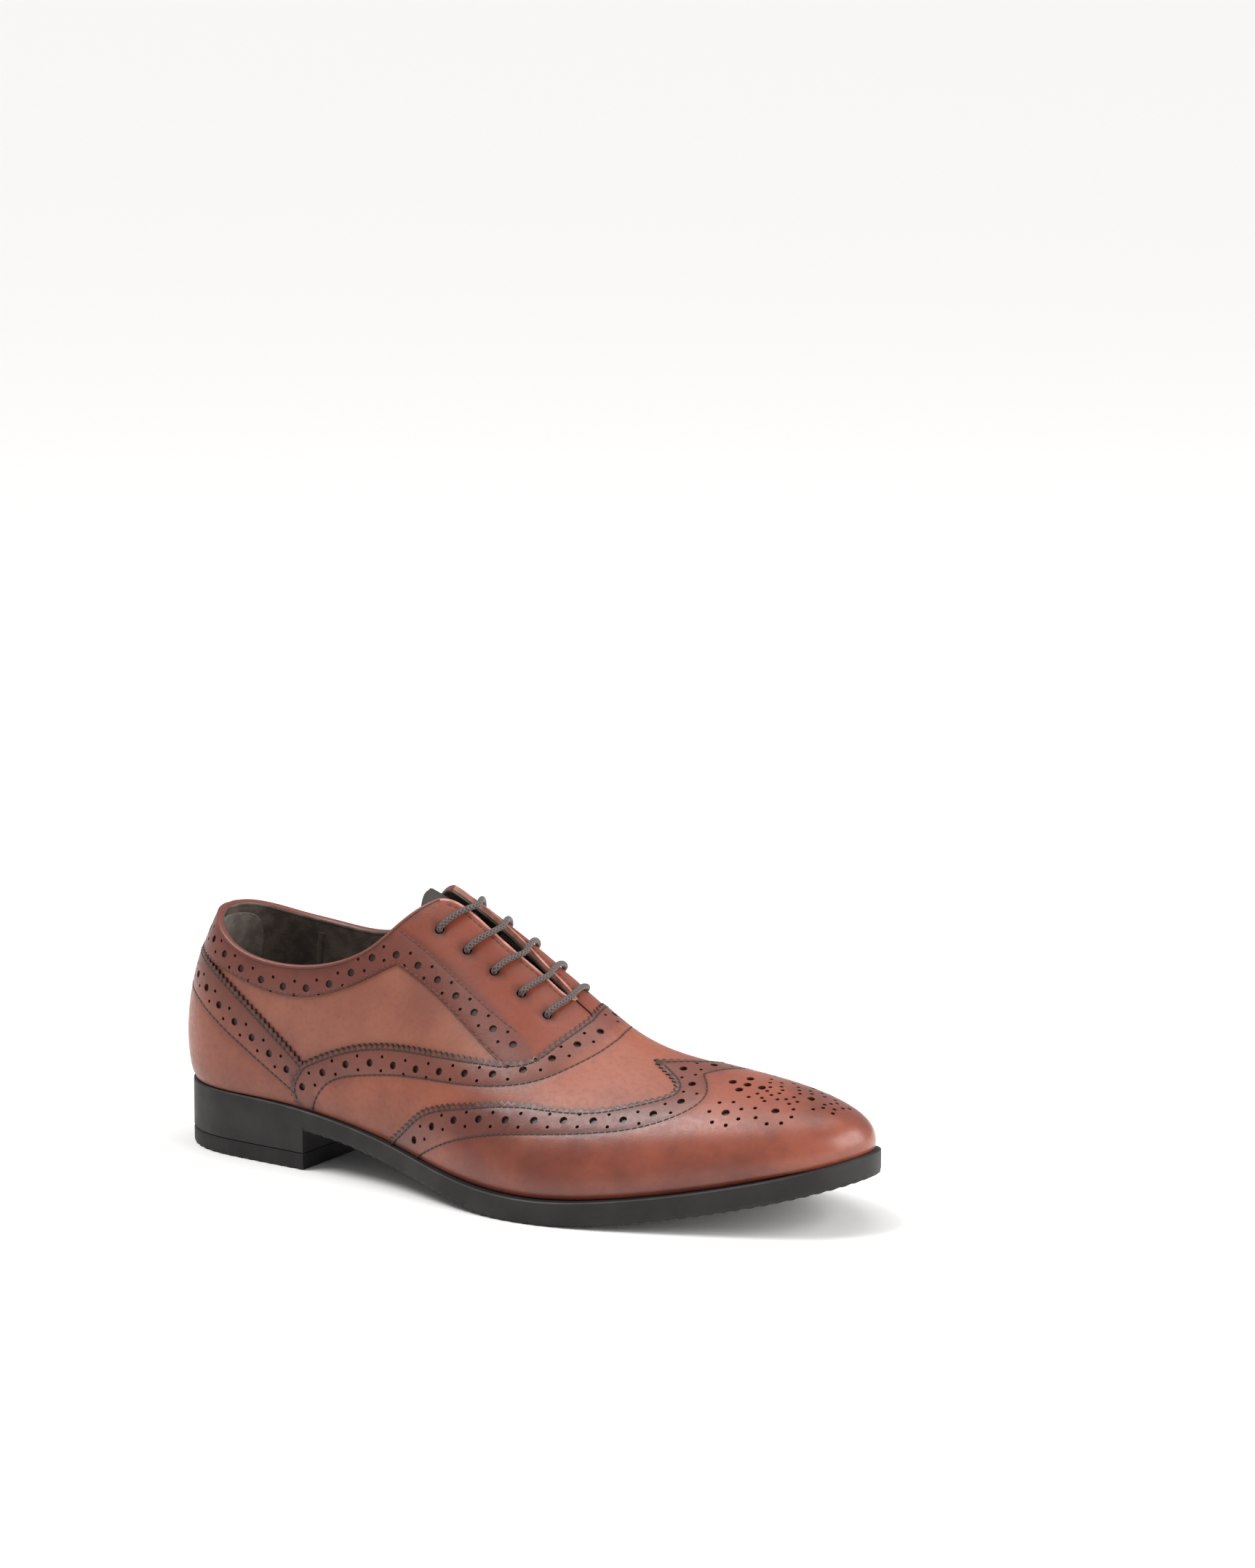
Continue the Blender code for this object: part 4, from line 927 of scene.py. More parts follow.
# %% Facings
stitch_rows = {"facing": [], "counter": [], "vamp": [], "cap": []}
UNDERLAP = 3.0 * MM
for sign, name in ((-1, "facing_outer"), (1, "facing_inner")):
    seam = trace(SEAM_OUT if sign < 0 else SEAM_IN, 2 * MM)
    under_vamp = beside(seam, UNDERLAP * sign)
    rear = trace(FACING_REAR, 2 * MM, sign)[::-1]
    low = trace(COLLAR_LOW, 2 * MM, sign)[::-1]
    under_counter = beside(trace(COUNTER_EDGE[:3], 2 * MM, sign)[::-1], -UNDERLAP * sign)
    under_counter[-1] = (0, under_counter[-1][1])
    end = under_vamp[-1]
    slit = THROAT_SIDE + HALF_SLIT * sign
    edge = loop(topline[sign], throat[sign][:-1], straight((95.6, slit), (end[0], slit), 5),
                under_vamp[::-1][1:], rear[1:], low, under_counter,
                straight(under_counter[-1], (0, 0.447 * sign), 5))
    rows = [beside(rear, 1.0 * MM * sign), beside(low, 1.0 * MM * sign),
            trace(FACING_FRONT, 2 * MM, sign), beside(throat[sign][2:], 2.2 * MM * sign)]
    stitch_rows["facing"] += rows
    holes = punches(COLLAR_HOLES, sign, 18)
    band = np.vstack([under_counter, low, rear])
    facing = panel(name, [edge], UNDERSIDE, FACING_TOP, [FACING_CALF, INKED_EDGE, RAW_EDGE],
                   pits=holes, cuts=[h for h in eyelet_holes if h[1] * sign > 0],
                   pale=throat[sign], troughs=[(r, 0.18 * MM, 0.6 * MM) for r in rows],
                   floor=0.15 * MM, spacing=2.2 * MM, trough_shade=0.15, inked=0.45,
                   guides=[beside(throat[sign], 0.9 * MM * sign)[1:-1]],
                   burnish_and_shade=depth_from(band, 11.5 * MM, 3.0 * MM))
    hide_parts(name)

# %% [markdown]
# ## Counter
#
# The counter wraps the heel and carries the collar's end under its pinked edge. Its two halves are
# drawn one side at a time and share their points along the back seam.

# %% Heel counter
halves, holes, rows = [], [], []
for sign in (-1, 1):
    edge = trace(COUNTER_EDGE, TOOTH_PITCH / 2, sign)
    halves.append(loop(pinked(edge, TOOTH_DEPTH), straight(edge[-1], (56.3, 0.92 * sign), 4),
                       straight((56.3, 0.92 * sign), (56.8, sign), 5), straight((56.8, sign), (0, sign), 38),
                       straight((0, sign), (0, 0.565 * sign), 56)))
    holes += punches(COUNTER_HOLES, sign, 9)
    rows += [beside(edge, ROW_INSET * sign), trace(COUNTER_ROW, STITCH_PITCH, sign)]
stitch_rows["counter"] = rows
counter_edge = np.vstack([trace(COUNTER_EDGE, 2 * MM, -1), trace(COUNTER_EDGE, 2 * MM)[::-1]])
counter = panel("heel_counter_calf", halves, UNDERSIDE, COUNTER_TOP, [COUNTER_CALF, INKED_EDGE],
                pits=holes, troughs=[(r, 0.2 * MM, 0.7 * MM) for r in rows],
                floor=0.25 * MM, burnish_and_shade=depth_from(counter_edge, 9.5 * MM, 2.5 * MM))
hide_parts("heel_counter")

# %% [markdown]
# ## Vamp
#
# The vamp covers the middle of the foot. Its pinked top edge lies over the facings and closes the
# bottom of the throat; its front edge runs on under the cap.

# %% Vamp
vamp_side = {}
for sign in (-1, 1):
    parts = [trace(VAMP_LOW, TOOTH_PITCH / 2, sign), trace(VAMP_MID, TOOTH_PITCH / 2, sign),
             trace(SEAM_OUT if sign < 0 else SEAM_IN, TOOTH_PITCH / 2)]
    line = np.vstack([parts[0], parts[1][1:], parts[2][1:]])
    vamp_side[sign] = line
vamp_edge = np.vstack([vamp_side[-1], vamp_side[1][::-1][1:]])
cap_side = {sign: trace(CAP_EDGE, TOOTH_PITCH / 2, sign, PEAK_SHIFT) for sign in (-1, 1)}
cap_line = np.vstack([cap_side[-1], cap_side[1][::-1][1:]])
cap_teeth = np.vstack([pinked(cap_side[-1], TOOTH_DEPTH), pinked(cap_side[1], -TOOTH_DEPTH)[::-1][1:]])
cap_under = beside(trace(CAP_EDGE, 3 * MM, -1, PEAK_SHIFT), -UNDERLAP)[1:-2]
cap_under_in = beside(trace(CAP_EDGE, 3 * MM, 1, PEAK_SHIFT), UNDERLAP)[1:-2][::-1]
under_line = np.vstack([[(78.0, -1)], cap_under, [(118.0, PEAK_SHIFT)], cap_under_in, [(78.0, 1)]])
vamp_loop = loop(pinked(vamp_edge, TOOTH_DEPTH), straight((56.5, 1), (78, 1), 12), under_line[::-1],
                 straight((78, -1), (56.5, -1), 12))
holes = punches(VAMP_HOLES, -1, 13)
holes += [h for h in punches(VAMP_HOLES, 1, 13) if abs(h[0] - 102.0) + abs(h[1] - THROAT_SIDE) > 0.01]
rows = []
for sign in (-1, 1):
    inner_row = VAMP_ROW[:-1] + ((105.2, THROAT_SIDE * sign),)
    rows += [beside(vamp_side[sign], ROW_INSET * sign)[2:], trace(inner_row, STITCH_PITCH, sign)]
stitch_rows["vamp"] = rows
vamp = panel("vamp_calf", [vamp_loop], UNDERSIDE, VAMP_TOP, [VAMP_CALF, INKED_EDGE],
             pits=holes, troughs=[(r, 0.22 * MM, 0.7 * MM) for r in rows], floor=0.3 * MM,
             burnish_and_shade=depth_from(vamp_edge, 10.0 * MM, 2.5 * MM))
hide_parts("vamp")

# %% [markdown]
# ## Toe cap and its medallion
#
# The wing tip is the showpiece: punched bands that follow the wings, and a medallion of punched
# dots on the toe. The medallion is symmetrical about the toe's middle line: rings of small holes
# round a large one, and rows that link them.

# %% Medallion tables
MEDALLION = (
    # angle, distance from the middle line as a share of the rib, radius in mm
    (132.4, 0.000, 1.6),
    (136.2, 0.000, 1.6),
    (140.2, 0.000, 1.6),
    (135.0, 0.082, 1.6),
    (138.1, 0.158, 0.85),
    (139.8, 0.095, 0.85),
    (142.0, 0.032, 0.85),
    (141.4, 0.145, 0.85),
    (143.6, 0.080, 0.85),
    (145.8, 0.030, 0.85),
    (148.4, 0.105, 0.85),
    (149.6, 0.175, 0.85),
    (152.4, 0.120, 0.85),
    (151.0, 0.045, 0.85),
    (158.5, 0.225, 0.85),
    (163.6, 0.165, 0.85),
    (166.0, 0.060, 0.85),
    (167.5, 0.270, 0.85),
    (171.5, 0.150, 0.85),
)
DOT, SMALL_DOT, DOT_GAP = 1.6 * MM, 0.85 * MM, 0.4 * MM
MEDALLION_RINGS = (
    # angle, distance from the middle line, radius of the ring in mm, holes in it
    (134.6, 0.365, 6.2, 7),
    (146.0, 0.305, 7.4, 9),
    (157.4, 0.000, 6.6, 8),
)


print("dots in the table", len(MEDALLION), "rings", len(MEDALLION_RINGS))

# %% [markdown]
# ## Laying the medallion out
#
# The large holes are laid first. A small dot that would touch one already there is left out, which
# keeps a bridge of leather between every two holes, as a punch needs.

# %% Cap with its medallion
def middle(angle):
    """The side of the toe's middle line, which leans in towards the tip."""
    return np.interp(angle, (113.6, 132, 157, 180), (PEAK_SHIFT, -0.042, 0.020, 0.03))


def medallion():
    """All the punched dots of the toe."""
    dots = []
    for angle, away, radius in MEDALLION:
        for sign in ((-1, 1) if away else (1,)):
            dots.append((angle, float(middle(angle)) + sign * away, radius * MM))
    for angle, away, reach, count in MEDALLION_RINGS:
        for sign in ((-1, 1) if away else (1,)):
            side = float(middle(angle)) + sign * away
            dots.append((angle, side, DOT))
            dots += [(a, s, SMALL_DOT) for a, s in circle(angle, side, reach * MM, count)]
    kept = []
    for dot in sorted(dots, key=lambda d: -d[2]):
        here = last_point(dot[0], dot[1])
        if all(np.linalg.norm(last_point(*d[:2]) - here) > DOT_GAP + dot[2] + d[2] for d in kept):
            kept.append(dot)
    return kept


holes = medallion()
rows = []
for sign in (-1, 1):
    band = punches(CAP_HOLES, sign, 13, PEAK_SHIFT)
    holes += [h for h in band if sign < 0 or abs(h[1] - PEAK_SHIFT) > 0.01]
    row = beside(cap_side[sign], ROW_INSET * sign)[1:]
    rows += [row[(row[:, 1] - PEAK_SHIFT) * sign > 0.003], trace(CAP_ROW, STITCH_PITCH, sign, PEAK_SHIFT)]
stitch_rows["cap"] = rows
cap_loop = loop(cap_teeth, straight((75.5, 1), (180, 1), 90), TOE_SEAM[::-1],
                TOE_SEAM * (1, -1), straight((180, -1), (75.5, -1), 90))
cap = panel("toe_cap_calf", [cap_loop], 0.1 * MM, CAP_TOP, [CAP_CALF, INKED_EDGE],
            pits=holes, troughs=[(r, 0.24 * MM, 0.7 * MM) for r in rows], floor=1.0 * MM,
            burnish_and_shade=depth_from(cap_line, 10.5 * MM, 3.0 * MM))
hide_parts("toe_cap")

# %% [markdown]
# ## Stitches
#
# Each stitch is a short rounded bar of waxed thread, a little wider than it is tall, lying in the
# trough its seam makes. They are small, so each panel's stitches are one mesh.

# %% Stitches
THREAD_WIDE, THREAD_HIGH, THREAD_SIDES = 0.36 * MM, 0.26 * MM, 6
STITCH_PROFILE = ((-0.42, 0.35), (-0.30, 0.85), (0.0, 1.0), (0.30, 0.85), (0.42, 0.35))


def stitches(name, lines, height, thread=THREAD):
    """Rows of stitches at a height over the last."""
    points, faces = [], []
    turns = np.arange(THREAD_SIDES) * 2 * math.pi / THREAD_SIDES
    for line in lines:
        places = respaced(line, STITCH_PITCH)
        centre = surface(*places.T, np.full(len(places), height))
        normal = last_normal(*places.T)
        ahead = np.gradient(centre, axis=0)
        ahead /= np.linalg.norm(ahead, axis=1, keepdims=True)
        across = np.cross(normal, ahead)
        for c, u, v, w in zip(centre, ahead, across, normal):
            start = len(points)
            for along, size in STITCH_PROFILE:
                for a in turns:
                    reach = v * (math.cos(a) * THREAD_WIDE * size) + w * (math.sin(a) * THREAD_HIGH * size)
                    points.append(c + u * along * STITCH_PITCH + reach)
            rings = np.arange(start, len(points)).reshape(-1, THREAD_SIDES)
            for near, far in zip(rings, rings[1:]):
                faces += zip(near, np.roll(near, -1), np.roll(far, -1), far)
            faces += [tuple(rings[0][::-1]), tuple(rings[-1])]
    return piece(name, points, faces, [thread], smooth=80)


stitches("facing_stitches", stitch_rows["facing"], FACING_TOP - 0.16 * MM, TAN_THREAD)
stitches("counter_stitches", stitch_rows["counter"], COUNTER_TOP - 0.12 * MM)
stitches("vamp_stitches", stitch_rows["vamp"], VAMP_TOP - 0.14 * MM)
stitches("cap_stitches", stitch_rows["cap"], CAP_TOP - 0.16 * MM)

# %% [markdown]
# ## Topline
#
# The top edge of the collar is folded over and stitched to the lining, so it shows as a small soft
# roll rather than a cut edge. We sweep a rounded profile along the opening on both sides: leather on
# its outer half, lining on its inner half.

# %% Folded topline
FOLD_BURNISH = 0.45


def sweep(name, path, profile, materials, which):
    """Sweeps a closed profile of (outward, off the last) millimetres along places on the last."""
    point = last_point(*path.T)
    ahead = np.gradient(point, axis=0)
    ahead /= np.linalg.norm(ahead, axis=1, keepdims=True)
    normal = last_normal(*path.T)
    away = np.cross(ahead, normal)
    count, sides = len(path), len(profile)
    aside, off = np.array(profile).T * MM
    points = np.vstack([p + np.outer(aside, a) + np.outer(off, n) for p, a, n in zip(point, away, normal)])
    faces, kinds = [], []
    for i in range(count - 1):
        for j in range(sides):
            k = (j + 1) % sides
            faces.append((i * sides + j, i * sides + k, (i + 1) * sides + k, (i + 1) * sides + j))
            kinds.append(which[j])
    faces += [tuple(range(sides))[::-1], tuple((count - 1) * sides + j for j in range(sides))]
    kinds += [which[0], which[0]]
    values = {"burnish_and_shade": np.full(len(points), FOLD_BURNISH), "ink_and_shade": np.zeros(len(points))}
    return piece(name, points, faces, materials, kinds, smooth=60, values=values)


collar = np.vstack([topline[-1][::-1], topline[1][1:]])
ROLL = ((-0.6, 0.95), (0.05, 1.05), (0.50, 0.80), (0.80, 0.30), (0.92, -0.45),
        (0.85, -1.20), (0.55, -1.85), (0.05, -2.25), (-0.6, -2.15))
CUT = ((-0.9, 0.90), (-0.2, 1.02), (0.12, 0.90), (0.15, -0.95), (-0.3, -0.95))
sweep("throat_edge_outer", throat[-1][::-1], CUT, [RAW_EDGE], (0, 0, 0, 0, 0))
sweep("throat_edge_inner", throat[1], CUT, [RAW_EDGE], (0, 0, 0, 0, 0))
sweep("topline_fold", collar, ROLL, [FACING_CALF, LINING], (0, 0, 0, 0, 0, 0, 1, 1, 1))

# %% [markdown]
# ## Inside the shoe
#
# A suede grip lines the heel, so the foot doesn't slip, and a seam joins it to the lining in front.
# The tongue is a soft padded sheet under the laces. The sock is thin black cloth over the insole.

# %% Heel grip, lining seam, tongue and sock
GRIP_EDGE = ((0.0, 0.475), (9.0, 0.478), (15.0, 0.490), (18.5, 0.530),
             (19.5, 0.620), (19.0, 0.760), (17.0, 0.880))
grips = []
for sign in (-1, 1):
    line, corner = trace(GRIP_EDGE, 2 * MM, sign), (0, 0.88 * sign)
    grips.append(loop(line, straight(line[-1], corner, 8), straight(corner, (0, 0.475 * sign), 16)))
panel("heel_grip", grips, -WALL - 0.9 * MM, -WALL - 0.05 * MM, [HEEL_GRIP, HEEL_GRIP],
      spacing=3 * MM)
for sign, name in ((-1, "lining_seam_outer"), (1, "lining_seam_inner")):
    seam = trace(((38.5, 0.560), (38.0, 0.680), (37.0, 0.820), (35.5, 0.930)), 2 * MM, sign)
    strip = ((-1.5, -2.0), (-1.2, -2.35), (0.0, -2.45), (1.2, -2.35), (1.5, -2.0))
    sweep(name, seam, strip, [LINING], (0, 0, 0, 0, 0))

TONGUE_EDGE = ((64.5, 0.000), (64.9, 0.030), (65.5, 0.060), (66.8, 0.120), (68.2, 0.180), (71.2, 0.265),
               (76.0, 0.330), (86.0, 0.405), (94.0, 0.370), (100.5, 0.290), (103.5, 0.160), (104.0, 0.000))
LACE_RADIUS, LACE_CLEARANCE = 1.2 * MM, 0.6 * MM
LACE_OVER = FACING_TOP + LACE_CLEARANCE + LACE_RADIUS
LACE_UNDER = -(WALL + LACE_CLEARANCE + LACE_RADIUS)
TONGUE_TOP = LACE_UNDER - LACE_RADIUS - LACE_CLEARANCE
TONGUE_THICKNESS = 1.6 * MM


def tongue_height(angle):
    """The tongue lies under the lace and rises to its seat under the vamp."""
    share = np.clip((np.asarray(angle, float) - 96) / 4.5, 0, 1)
    return TONGUE_TOP + (-(WALL + GAP) - TONGUE_TOP) * share * share * (3 - 2 * share)


def beneath(angle, side, offset):
    """A place under the last that follows the crest's direction near it, so a deep sheet stays smooth."""
    share = np.clip(np.abs(side) / 0.15, 0, 1)[..., None]
    away = last_normal(angle, side) * share + 2 * last_normal(angle, np.zeros_like(side))
    away /= np.linalg.norm(away, axis=1, keepdims=True)
    return last_point(angle, side) + away * np.asarray(offset)[..., None]


around_tongue = [(a, -s) for a, s in TONGUE_EDGE[::-1]] + list(TONGUE_EDGE[1:])
tongue_loop = loop(trace(around_tongue, 2 * MM))
tongue = panel("tongue_sheet", [tongue_loop], lambda a: tongue_height(a) - TONGUE_THICKNESS, tongue_height,
               [SHADED_TONGUE_HIDE, SHADED_TONGUE_HIDE], spacing=3 * MM, place=beneath)
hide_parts("tongue")

# %% [markdown]
# ## Sole and heel
#
# The sole is moulded rubber with its heel block in one piece. Its side is smooth and a little
# rounded top and bottom, with small notches where the tread reaches the edge. Low ribs run across the
# tread. The heel ends in a separate top piece, the layer that wears, with a dark line above it.

# %% Rubber
def rubber(name, colour, other, roughness):
    """Moulded thermoplastic rubber: matt satin, faintly cloudy, with a very fine moulded texture."""
    made, tree, shader = material(name)
    place = add(tree, "ShaderNodeTexCoord").outputs["Object"]
    cloud = add(tree, "ShaderNodeTexNoise", Vector=place, Scale=1 / (14 * MM), Detail=5.0)
    fine = add(tree, "ShaderNodeTexNoise", Vector=place, Scale=1 / (0.5 * MM), Detail=2.0)
    base = mix(tree, spread(tree, cloud.outputs["Fac"], 0.35, 0.65), colour, other)
    tree.links.new(base, shader.inputs["Base Color"])
    rough = spread(tree, cloud.outputs["Fac"], 0.3, 0.7, roughness, roughness + 0.1)
    tree.links.new(rough, shader.inputs["Roughness"])
    bump = add(tree, "ShaderNodeBump", Strength=0.25, Distance=0.08 * MM, Height=fine.outputs["Fac"])
    tree.links.new(bump.outputs["Normal"], shader.inputs["Normal"])
    shader.inputs["IOR"].default_value = 1.5
    shader.inputs["Specular IOR Level"].default_value = 0.4
    return made


SOLE_RUBBER = rubber("moulded_sole_rubber", "#1B1918", "#141211", 0.5)
TOP_RUBBER = rubber("moulded_heel_rubber", "#161413", "#0F0E0D", 0.55)


# %% [markdown]
# ## Flat bodies over the plan
#
# A sole, a heel layer and a sock are alike: an outline, drawn in a little at some heights. So one
# function builds all of them from a list of insets and heights. Four stations make one rib of the tread:
# two full, two cut back, at the rim and on the underside.

# %% Bodies
def stations(start, end, step):
    """Turns at equal lengths along the outer outline."""
    fine = np.linspace(start, end, 2000)
    run = lengths(np.column_stack([outline(-fine), np.zeros(2000)]))
    count = 2 * int(round(run[-1] / step / 2))
    return np.interp(np.linspace(0, run[-1], count + 1), run, fine)


def body(turns, levels, notch=0.0, cap_start=False, cap_end=False):
    """A flat body over the plan: rings of (inset, height) from the top down, with ribs across its tread."""
    points, faces, count = [], [], len(turns)
    for k, (distance, height) in enumerate(levels):
        cut = np.where(np.arange(count) % 4 < 2, 0, notch) if k >= len(levels) - 2 else np.zeros(count)
        for sign in (1, -1):
            flat = inset(turns * sign, np.broadcast_to(distance, turns.shape) + cut)
            rise = cut if k == len(levels) - 1 else 0
            points.append(np.column_stack([flat, np.broadcast_to(height, turns.shape) + rise]))
    last = len(levels) - 1

    def at(level, side, i):
        return (2 * level + side) * count + i

    for i in range(count - 1):
        for k in range(last):
            faces.append((at(k, 0, i), at(k, 0, i + 1), at(k + 1, 0, i + 1), at(k + 1, 0, i)))
            faces.append((at(k, 1, i), at(k + 1, 1, i), at(k + 1, 1, i + 1), at(k, 1, i + 1)))
        faces.append((at(0, 1, i), at(0, 1, i + 1), at(0, 0, i + 1), at(0, 0, i)))
        faces.append((at(last, 0, i), at(last, 0, i + 1), at(last, 1, i + 1), at(last, 1, i)))
    for i, wanted in ((0, cap_start), (count - 1, cap_end)):
        if wanted:
            faces.append([at(k, 0, i) for k in range(last + 1)] + [at(k, 1, i) for k in range(last, -1, -1)])
    return np.vstack(points), faces


print("stations round the heel", len(stations(0, 60, 1.3 * MM)))

# %% [markdown]
# ## The sole, the heel and the sock
#
# The forepart and the heel block are two bodies of one rubber. They meet at the heel's breast, the
# face where the heel ends. The sock lies inside, on the insole, and follows the wall of the upper.

# %% Sole bodies and sock
BREAST = math.degrees(math.acos(1 - 2 * HEEL_LENGTH / SHOE_LENGTH))
front = stations(BREAST, 180, 1.3 * MM)
x = outline(front)[:, 0]
high, low = sole_top(x), sole_bottom(x)
points, faces = body(front, [(1.6 * MM, high), (0.5 * MM, high - 0.15 * MM), (0.05 * MM, high - 0.6 * MM),
                             (0.0, high - 1.5 * MM), (0.0, low + 1.7 * MM), (0.15 * MM, low + 1.5 * MM),
                             (0.2 * MM, low + 0.3 * MM), (0.6 * MM, low)], 0.35 * MM, cap_start=True)
sole = piece("sole_front", points, faces, [SOLE_RUBBER], smooth=35)
heel = stations(0, BREAST, 1.3 * MM)
high = sole_top(outline(heel)[:, 0])
points, faces = body(heel, [(1.6 * MM, high), (0.5 * MM, high - 0.15 * MM), (0.05 * MM, high - 0.6 * MM),
                            (0.0, high - 1.5 * MM), (0.0, np.full(len(heel), TOP_PIECE + 0.8 * MM)),
                            (0.35 * MM, np.full(len(heel), TOP_PIECE + GAP))], cap_end=True)
piece("heel_block", points, faces, [SOLE_RUBBER], smooth=35)
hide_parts("outsole")
flat = np.ones(len(heel))
points, faces = body(heel, [(0.45 * MM, TOP_PIECE * flat), (0.1 * MM, (TOP_PIECE - 0.4 * MM) * flat),
                            (0.0, (TOP_PIECE - 1.0 * MM) * flat), (0.0, 1.5 * MM * flat),
                            (0.1 * MM, 0.4 * MM * flat), (0.5 * MM, 0 * flat)],
                     0.3 * MM, cap_end=True)
top_piece = piece("heel_top_layer", points, faces, [TOP_RUBBER], smooth=35)
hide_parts("heel_top_piece")

turns = stations(1, 179, 3 * MM)
margin = lip(turns) + WALL + 2 * GAP
seat = sole_top(inset(turns, margin)[:, 0]) + GAP
points, faces = body(turns, [(margin + 0.8 * MM, seat + 2.5 * MM), (margin, seat + 2.0 * MM), (margin, seat)],
                     cap_start=True, cap_end=True)
sock = piece("sock", points, faces, [SOCK])
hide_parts("insole")

# %% [markdown]
# ## Lace
#
# A round waxed lace runs in five bars across the throat and in hidden stretches below the facings.
# We take the model's route, round it off with a spline and sweep a circle along it. Its braid comes
# from two values on the points, the length run and the way round, which make crossing diagonal
# ridges. The braid is drawn at 1.6 mm so that it shows.

# %% Waxed lace
def cotton():
    """Waxed cotton braid: grey-brown, crossing ridges; painted shade darkens the grooves and the ridges stay
    lighter.
    """
    made, tree, shader = material("waxed_cotton_braid")
    run = add(tree, "ShaderNodeAttribute", {"attribute_name": "run"}).outputs["Fac"]
    around = add(tree, "ShaderNodeAttribute", {"attribute_name": "around"}).outputs["Fac"]
    ridges = []
    for sign in (1.0, -1.0):
        phase = add(tree, "ShaderNodeMath", {"operation": "MULTIPLY_ADD"}, _0=around, _1=sign * 4, _2=run)
        ridges.append(add(tree, "ShaderNodeMath", {"operation": "SINE"}, _0=phase.outputs[0]).outputs[0])
    braid = add(tree, "ShaderNodeMath", {"operation": "MAXIMUM"}, _0=ridges[0], _1=ridges[1]).outputs[0]
    # painted shade: the braid's colour runs dark in the grooves between the ridges
    groove_shade = spread(tree, braid, -0.4, 1.0)
    tree.links.new(mix(tree, groove_shade, "#241B19", "#5A4A46"), shader.inputs["Base Color"])
    bump = add(tree, "ShaderNodeBump", Strength=0.8, Distance=0.15 * MM, Height=braid)
    tree.links.new(bump.outputs["Normal"], shader.inputs["Normal"])
    shader.inputs["Roughness"].default_value = 0.5
    shader.inputs["Sheen Weight"].default_value = 0.15
    return made


LACE_COTTON = cotton()
print("lace material", LACE_COTTON.name)

# %% [markdown]
# ## The lace's route
#
# The table names the eyelet at each stop and whether the lace then runs over or under. Where it passes
# a hole that it skips, it swings a little to the side.

# %% Lace along its route
LACE_SIDES, BRAID_PITCH, LACE_STEP = 12, 1.6 * MM, 4.2 * MM
LACE_RUN = (
    # row, column, next stretch, shift at a skipped eyelet
    (0, 2, "over", 0.0),
    (0, 1, "under", -0.075),
    (2, 1, "over", 0.0),
    (2, 2, "under", 0.075),
    (4, 2, "over", 0.0),
    (4, 1, "under", 0.0),
    (3, 1, "over", 0.0),
    (3, 2, "under", -0.075),
    (1, 2, "over", 0.0),
    (1, 1, "end", 0.0),
)


def lace_route():
    """The lace's course: shoulders at each eyelet and stretches between."""
    route = []
    top, bottom = LACE_OVER - 0.35 * LACE_RADIUS, LACE_UNDER + 0.35 * LACE_RADIUS
    for i, (row, column, kind, shift) in enumerate(LACE_RUN):
        stop = np.array(EYELETS[row][2 * column - 2:2 * column])
        depths = [bottom, 0.5 * (top + bottom), top]
        if i and LACE_RUN[i - 1][2] == "over":
            depths.reverse()
        route += [surface(*stop, np.array(d)) for d in depths]
        if kind == "end":
            break
        row, column = LACE_RUN[i + 1][:2]
        to = np.array(EYELETS[row][2 * column - 2:2 * column])
        count = max(2, int(round(np.linalg.norm(last_point(*to) - last_point(*stop)) / LACE_STEP)))
        for t in np.arange(1, count) / count:
            place = stop + (to - stop) * t + (0, shift * math.sin(math.pi * t))
            route.append(surface(*place, np.array(LACE_OVER if kind == "over" else LACE_UNDER)))
    return np.array(route)


def rounded(points, step):
    """A smooth curve near a row of points, evenly stepped."""
    for _ in range(2):
        a, b = points[:-1], points[1:]
        cut = np.stack([0.75 * a + 0.25 * b, 0.25 * a + 0.75 * b], 1).reshape(-1, 3)
        points = np.vstack([points[:1], cut[1:-1], points[-1:]])
    run = lengths(points)
    at = np.linspace(0, run[-1], int(run[-1] / step) + 1)
    return np.column_stack([np.interp(at, run, points[:, k]) for k in range(3)])


path = rounded(lace_route(), 0.5 * MM)
ahead = np.gradient(path, axis=0)
ahead /= np.linalg.norm(ahead, axis=1, keepdims=True)
run = lengths(path)
side = np.cross(ahead[0], (0, 0, 1))
points, along, around = [], [], []
for p, d, r in zip(path, ahead, run):
    side -= d * (side @ d)
    side /= np.linalg.norm(side)
    other = np.cross(d, side)
    for k in range(LACE_SIDES):
        turn = 2 * math.pi * k / LACE_SIDES
        points.append(p + LACE_RADIUS * (side * math.cos(turn) + other * math.sin(turn)))
        along.append(r / BRAID_PITCH * 2 * math.pi)
        around.append(turn)
rim = np.arange(LACE_SIDES)
faces = [tuple(rim[::-1]), tuple(LACE_SIDES * (len(path) - 1) + rim)]
for i in range(len(path) - 1):
    here, beyond = LACE_SIDES * i + rim, LACE_SIDES * (i + 1) + rim
    faces += zip(here, np.roll(here, -1), np.roll(beyond, -1), beyond)
lace = piece("lace_cord", points, faces, [LACE_COTTON], smooth=80, values={"run": along, "around": around})
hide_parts("lace")
print("lace", round(float(run[-1]) / MM), "mm in the shoe")

# %% [markdown]
# ## Camera
#
# The picture was taken from the shoe's outer side, a little in front of it and from slightly above,
# with a long lens. We put the camera there and tilt it a little, so the shoe stands where it should.

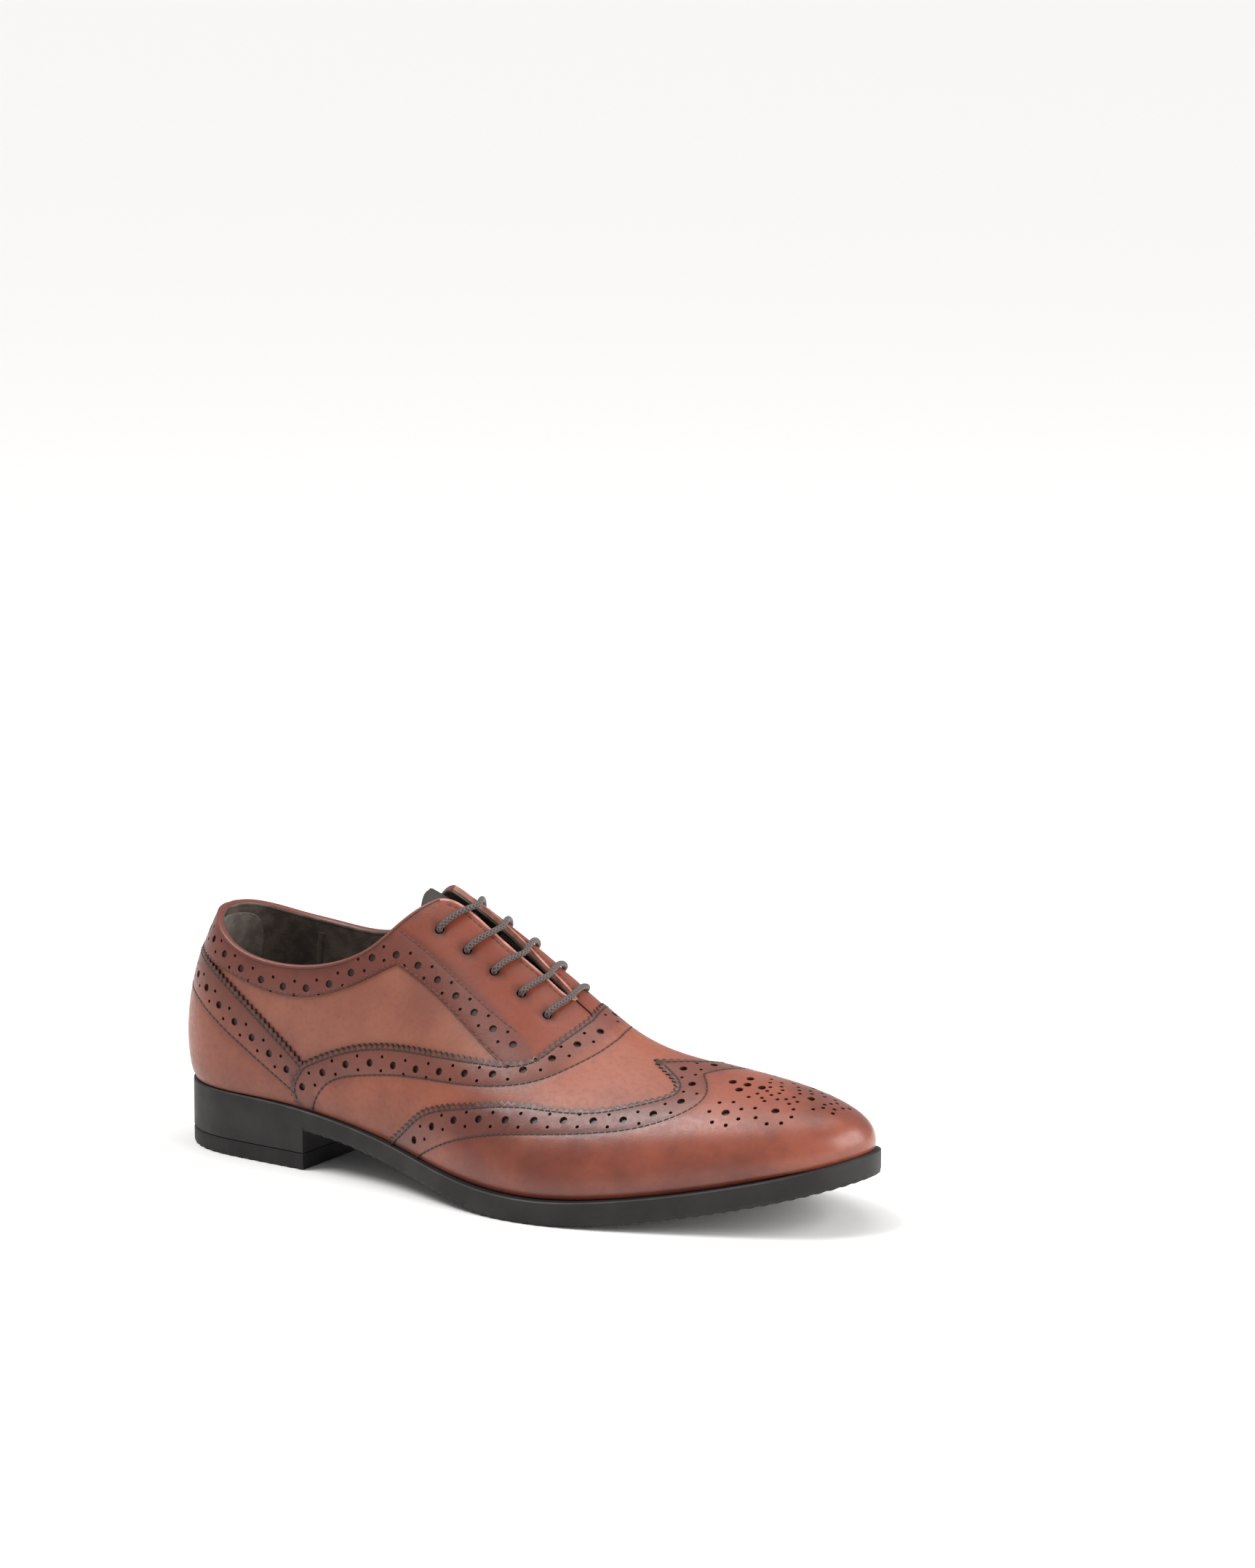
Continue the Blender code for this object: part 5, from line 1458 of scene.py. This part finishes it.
# %% Camera
AZIMUTH, ELEVATION, DISTANCE = 32.0, 13.5, 2.0
PIXELS_PER_RADIAN, IMAGE_HEIGHT, DROP_PIXELS = 7040, 2156, 362
SIDEWAYS, UPWARDS = 40.6 * MM, 12.4 * MM
TARGET = Vector((152.5, 0.0, 40.0)) * MM + Vector(SHIFT)
a, e = math.radians(AZIMUTH), math.radians(ELEVATION)
right = Vector((math.cos(a), math.sin(a), 0))
behind = Vector((math.sin(a) * math.cos(e), -math.cos(a) * math.cos(e), math.sin(e)))
above = behind.cross(right)
DROP = math.atan(DROP_PIXELS / PIXELS_PER_RADIAN)
bpy.context.scene.view_settings.view_transform = "Standard"
camera = bpy.data.objects.new("camera", bpy.data.cameras.new("camera"))
camera.data.sensor_width = 36
camera.data.lens = PIXELS_PER_RADIAN * 36 / IMAGE_HEIGHT
camera.data.clip_start, camera.data.clip_end = 0.05, 200
tilted = behind * math.cos(DROP) - above * math.sin(DROP)
lifted = above * math.cos(DROP) + behind * math.sin(DROP)
turned = Matrix((right, lifted, tilted)).transposed().to_4x4()
turned.translation = TARGET + right * SIDEWAYS + above * UPWARDS + behind * DISTANCE
camera.matrix_world = turned
bpy.context.scene.collection.objects.link(camera)
bpy.context.scene.camera = camera


print("lens", round(camera.data.lens), "mm on a 36 mm sensor")

# %% [markdown]
# ## Floor and light
#
# Waxed leather shows its shape through wide, soft highlights. So the main light is a very soft sun,
# the top light is wide, and a third light from the right draws the toe's edge. The floor is pale paper,
# large enough that its edge never shows.

# %% Floor and lights
def paper():
    """Pale seamless paper."""
    made, _, shader = material("pale_paper")
    shader.inputs["Base Color"].default_value = linear("#FCFBF9")
    shader.inputs["Roughness"].default_value = 0.9
    return made


floor_mesh = bpy.data.meshes.new("floor")
floor_mesh.from_pydata([(x, y, -0.05 * MM) for x, y in ((-60, -60), (60, -60), (60, 60), (-60, 60))],
                       [], [(0, 1, 2, 3)])
floor_mesh.materials.append(paper())
floor = bpy.data.objects.new("floor", floor_mesh)
bpy.context.scene.collection.objects.link(floor)


def softbox(name, place, aim, width, height, power):
    """A large area light that looks at a point."""
    light = bpy.data.lights.new(name, "AREA")
    light.shape = "RECTANGLE"
    light.size, light.size_y, light.energy = width, height, power
    made = bpy.data.objects.new(name, light)
    made.location = place
    made.rotation_euler = (Vector(aim) - Vector(place)).to_track_quat("-Z", "Y").to_euler()
    bpy.context.scene.collection.objects.link(made)
    return made


sun = bpy.data.lights.new("sky_key", "SUN")
sun.energy, sun.angle = 2.0, math.radians(35)
key = bpy.data.objects.new("sky_key", sun)
key.rotation_euler = Vector((-0.50, -0.30, 1.0)).to_track_quat("Z", "Y").to_euler()
bpy.context.scene.collection.objects.link(key)
softbox("top", (-0.1, 0.3, 1.5), (0, 0, 0.04), 1.2, 0.8, 6)
softbox("kicker", (1.4, 0.3, 0.65), (0.12, 0, 0.03), 1.5, 1.2, 26)
world = bpy.data.worlds.new("studio")
bpy.context.scene.world = world
world.use_nodes = True
world.node_tree.nodes["Background"].inputs["Color"].default_value = linear("#F2F2F2")
world.node_tree.nodes["Background"].inputs["Strength"].default_value = 0.50

print("lights", len(bpy.data.lights))
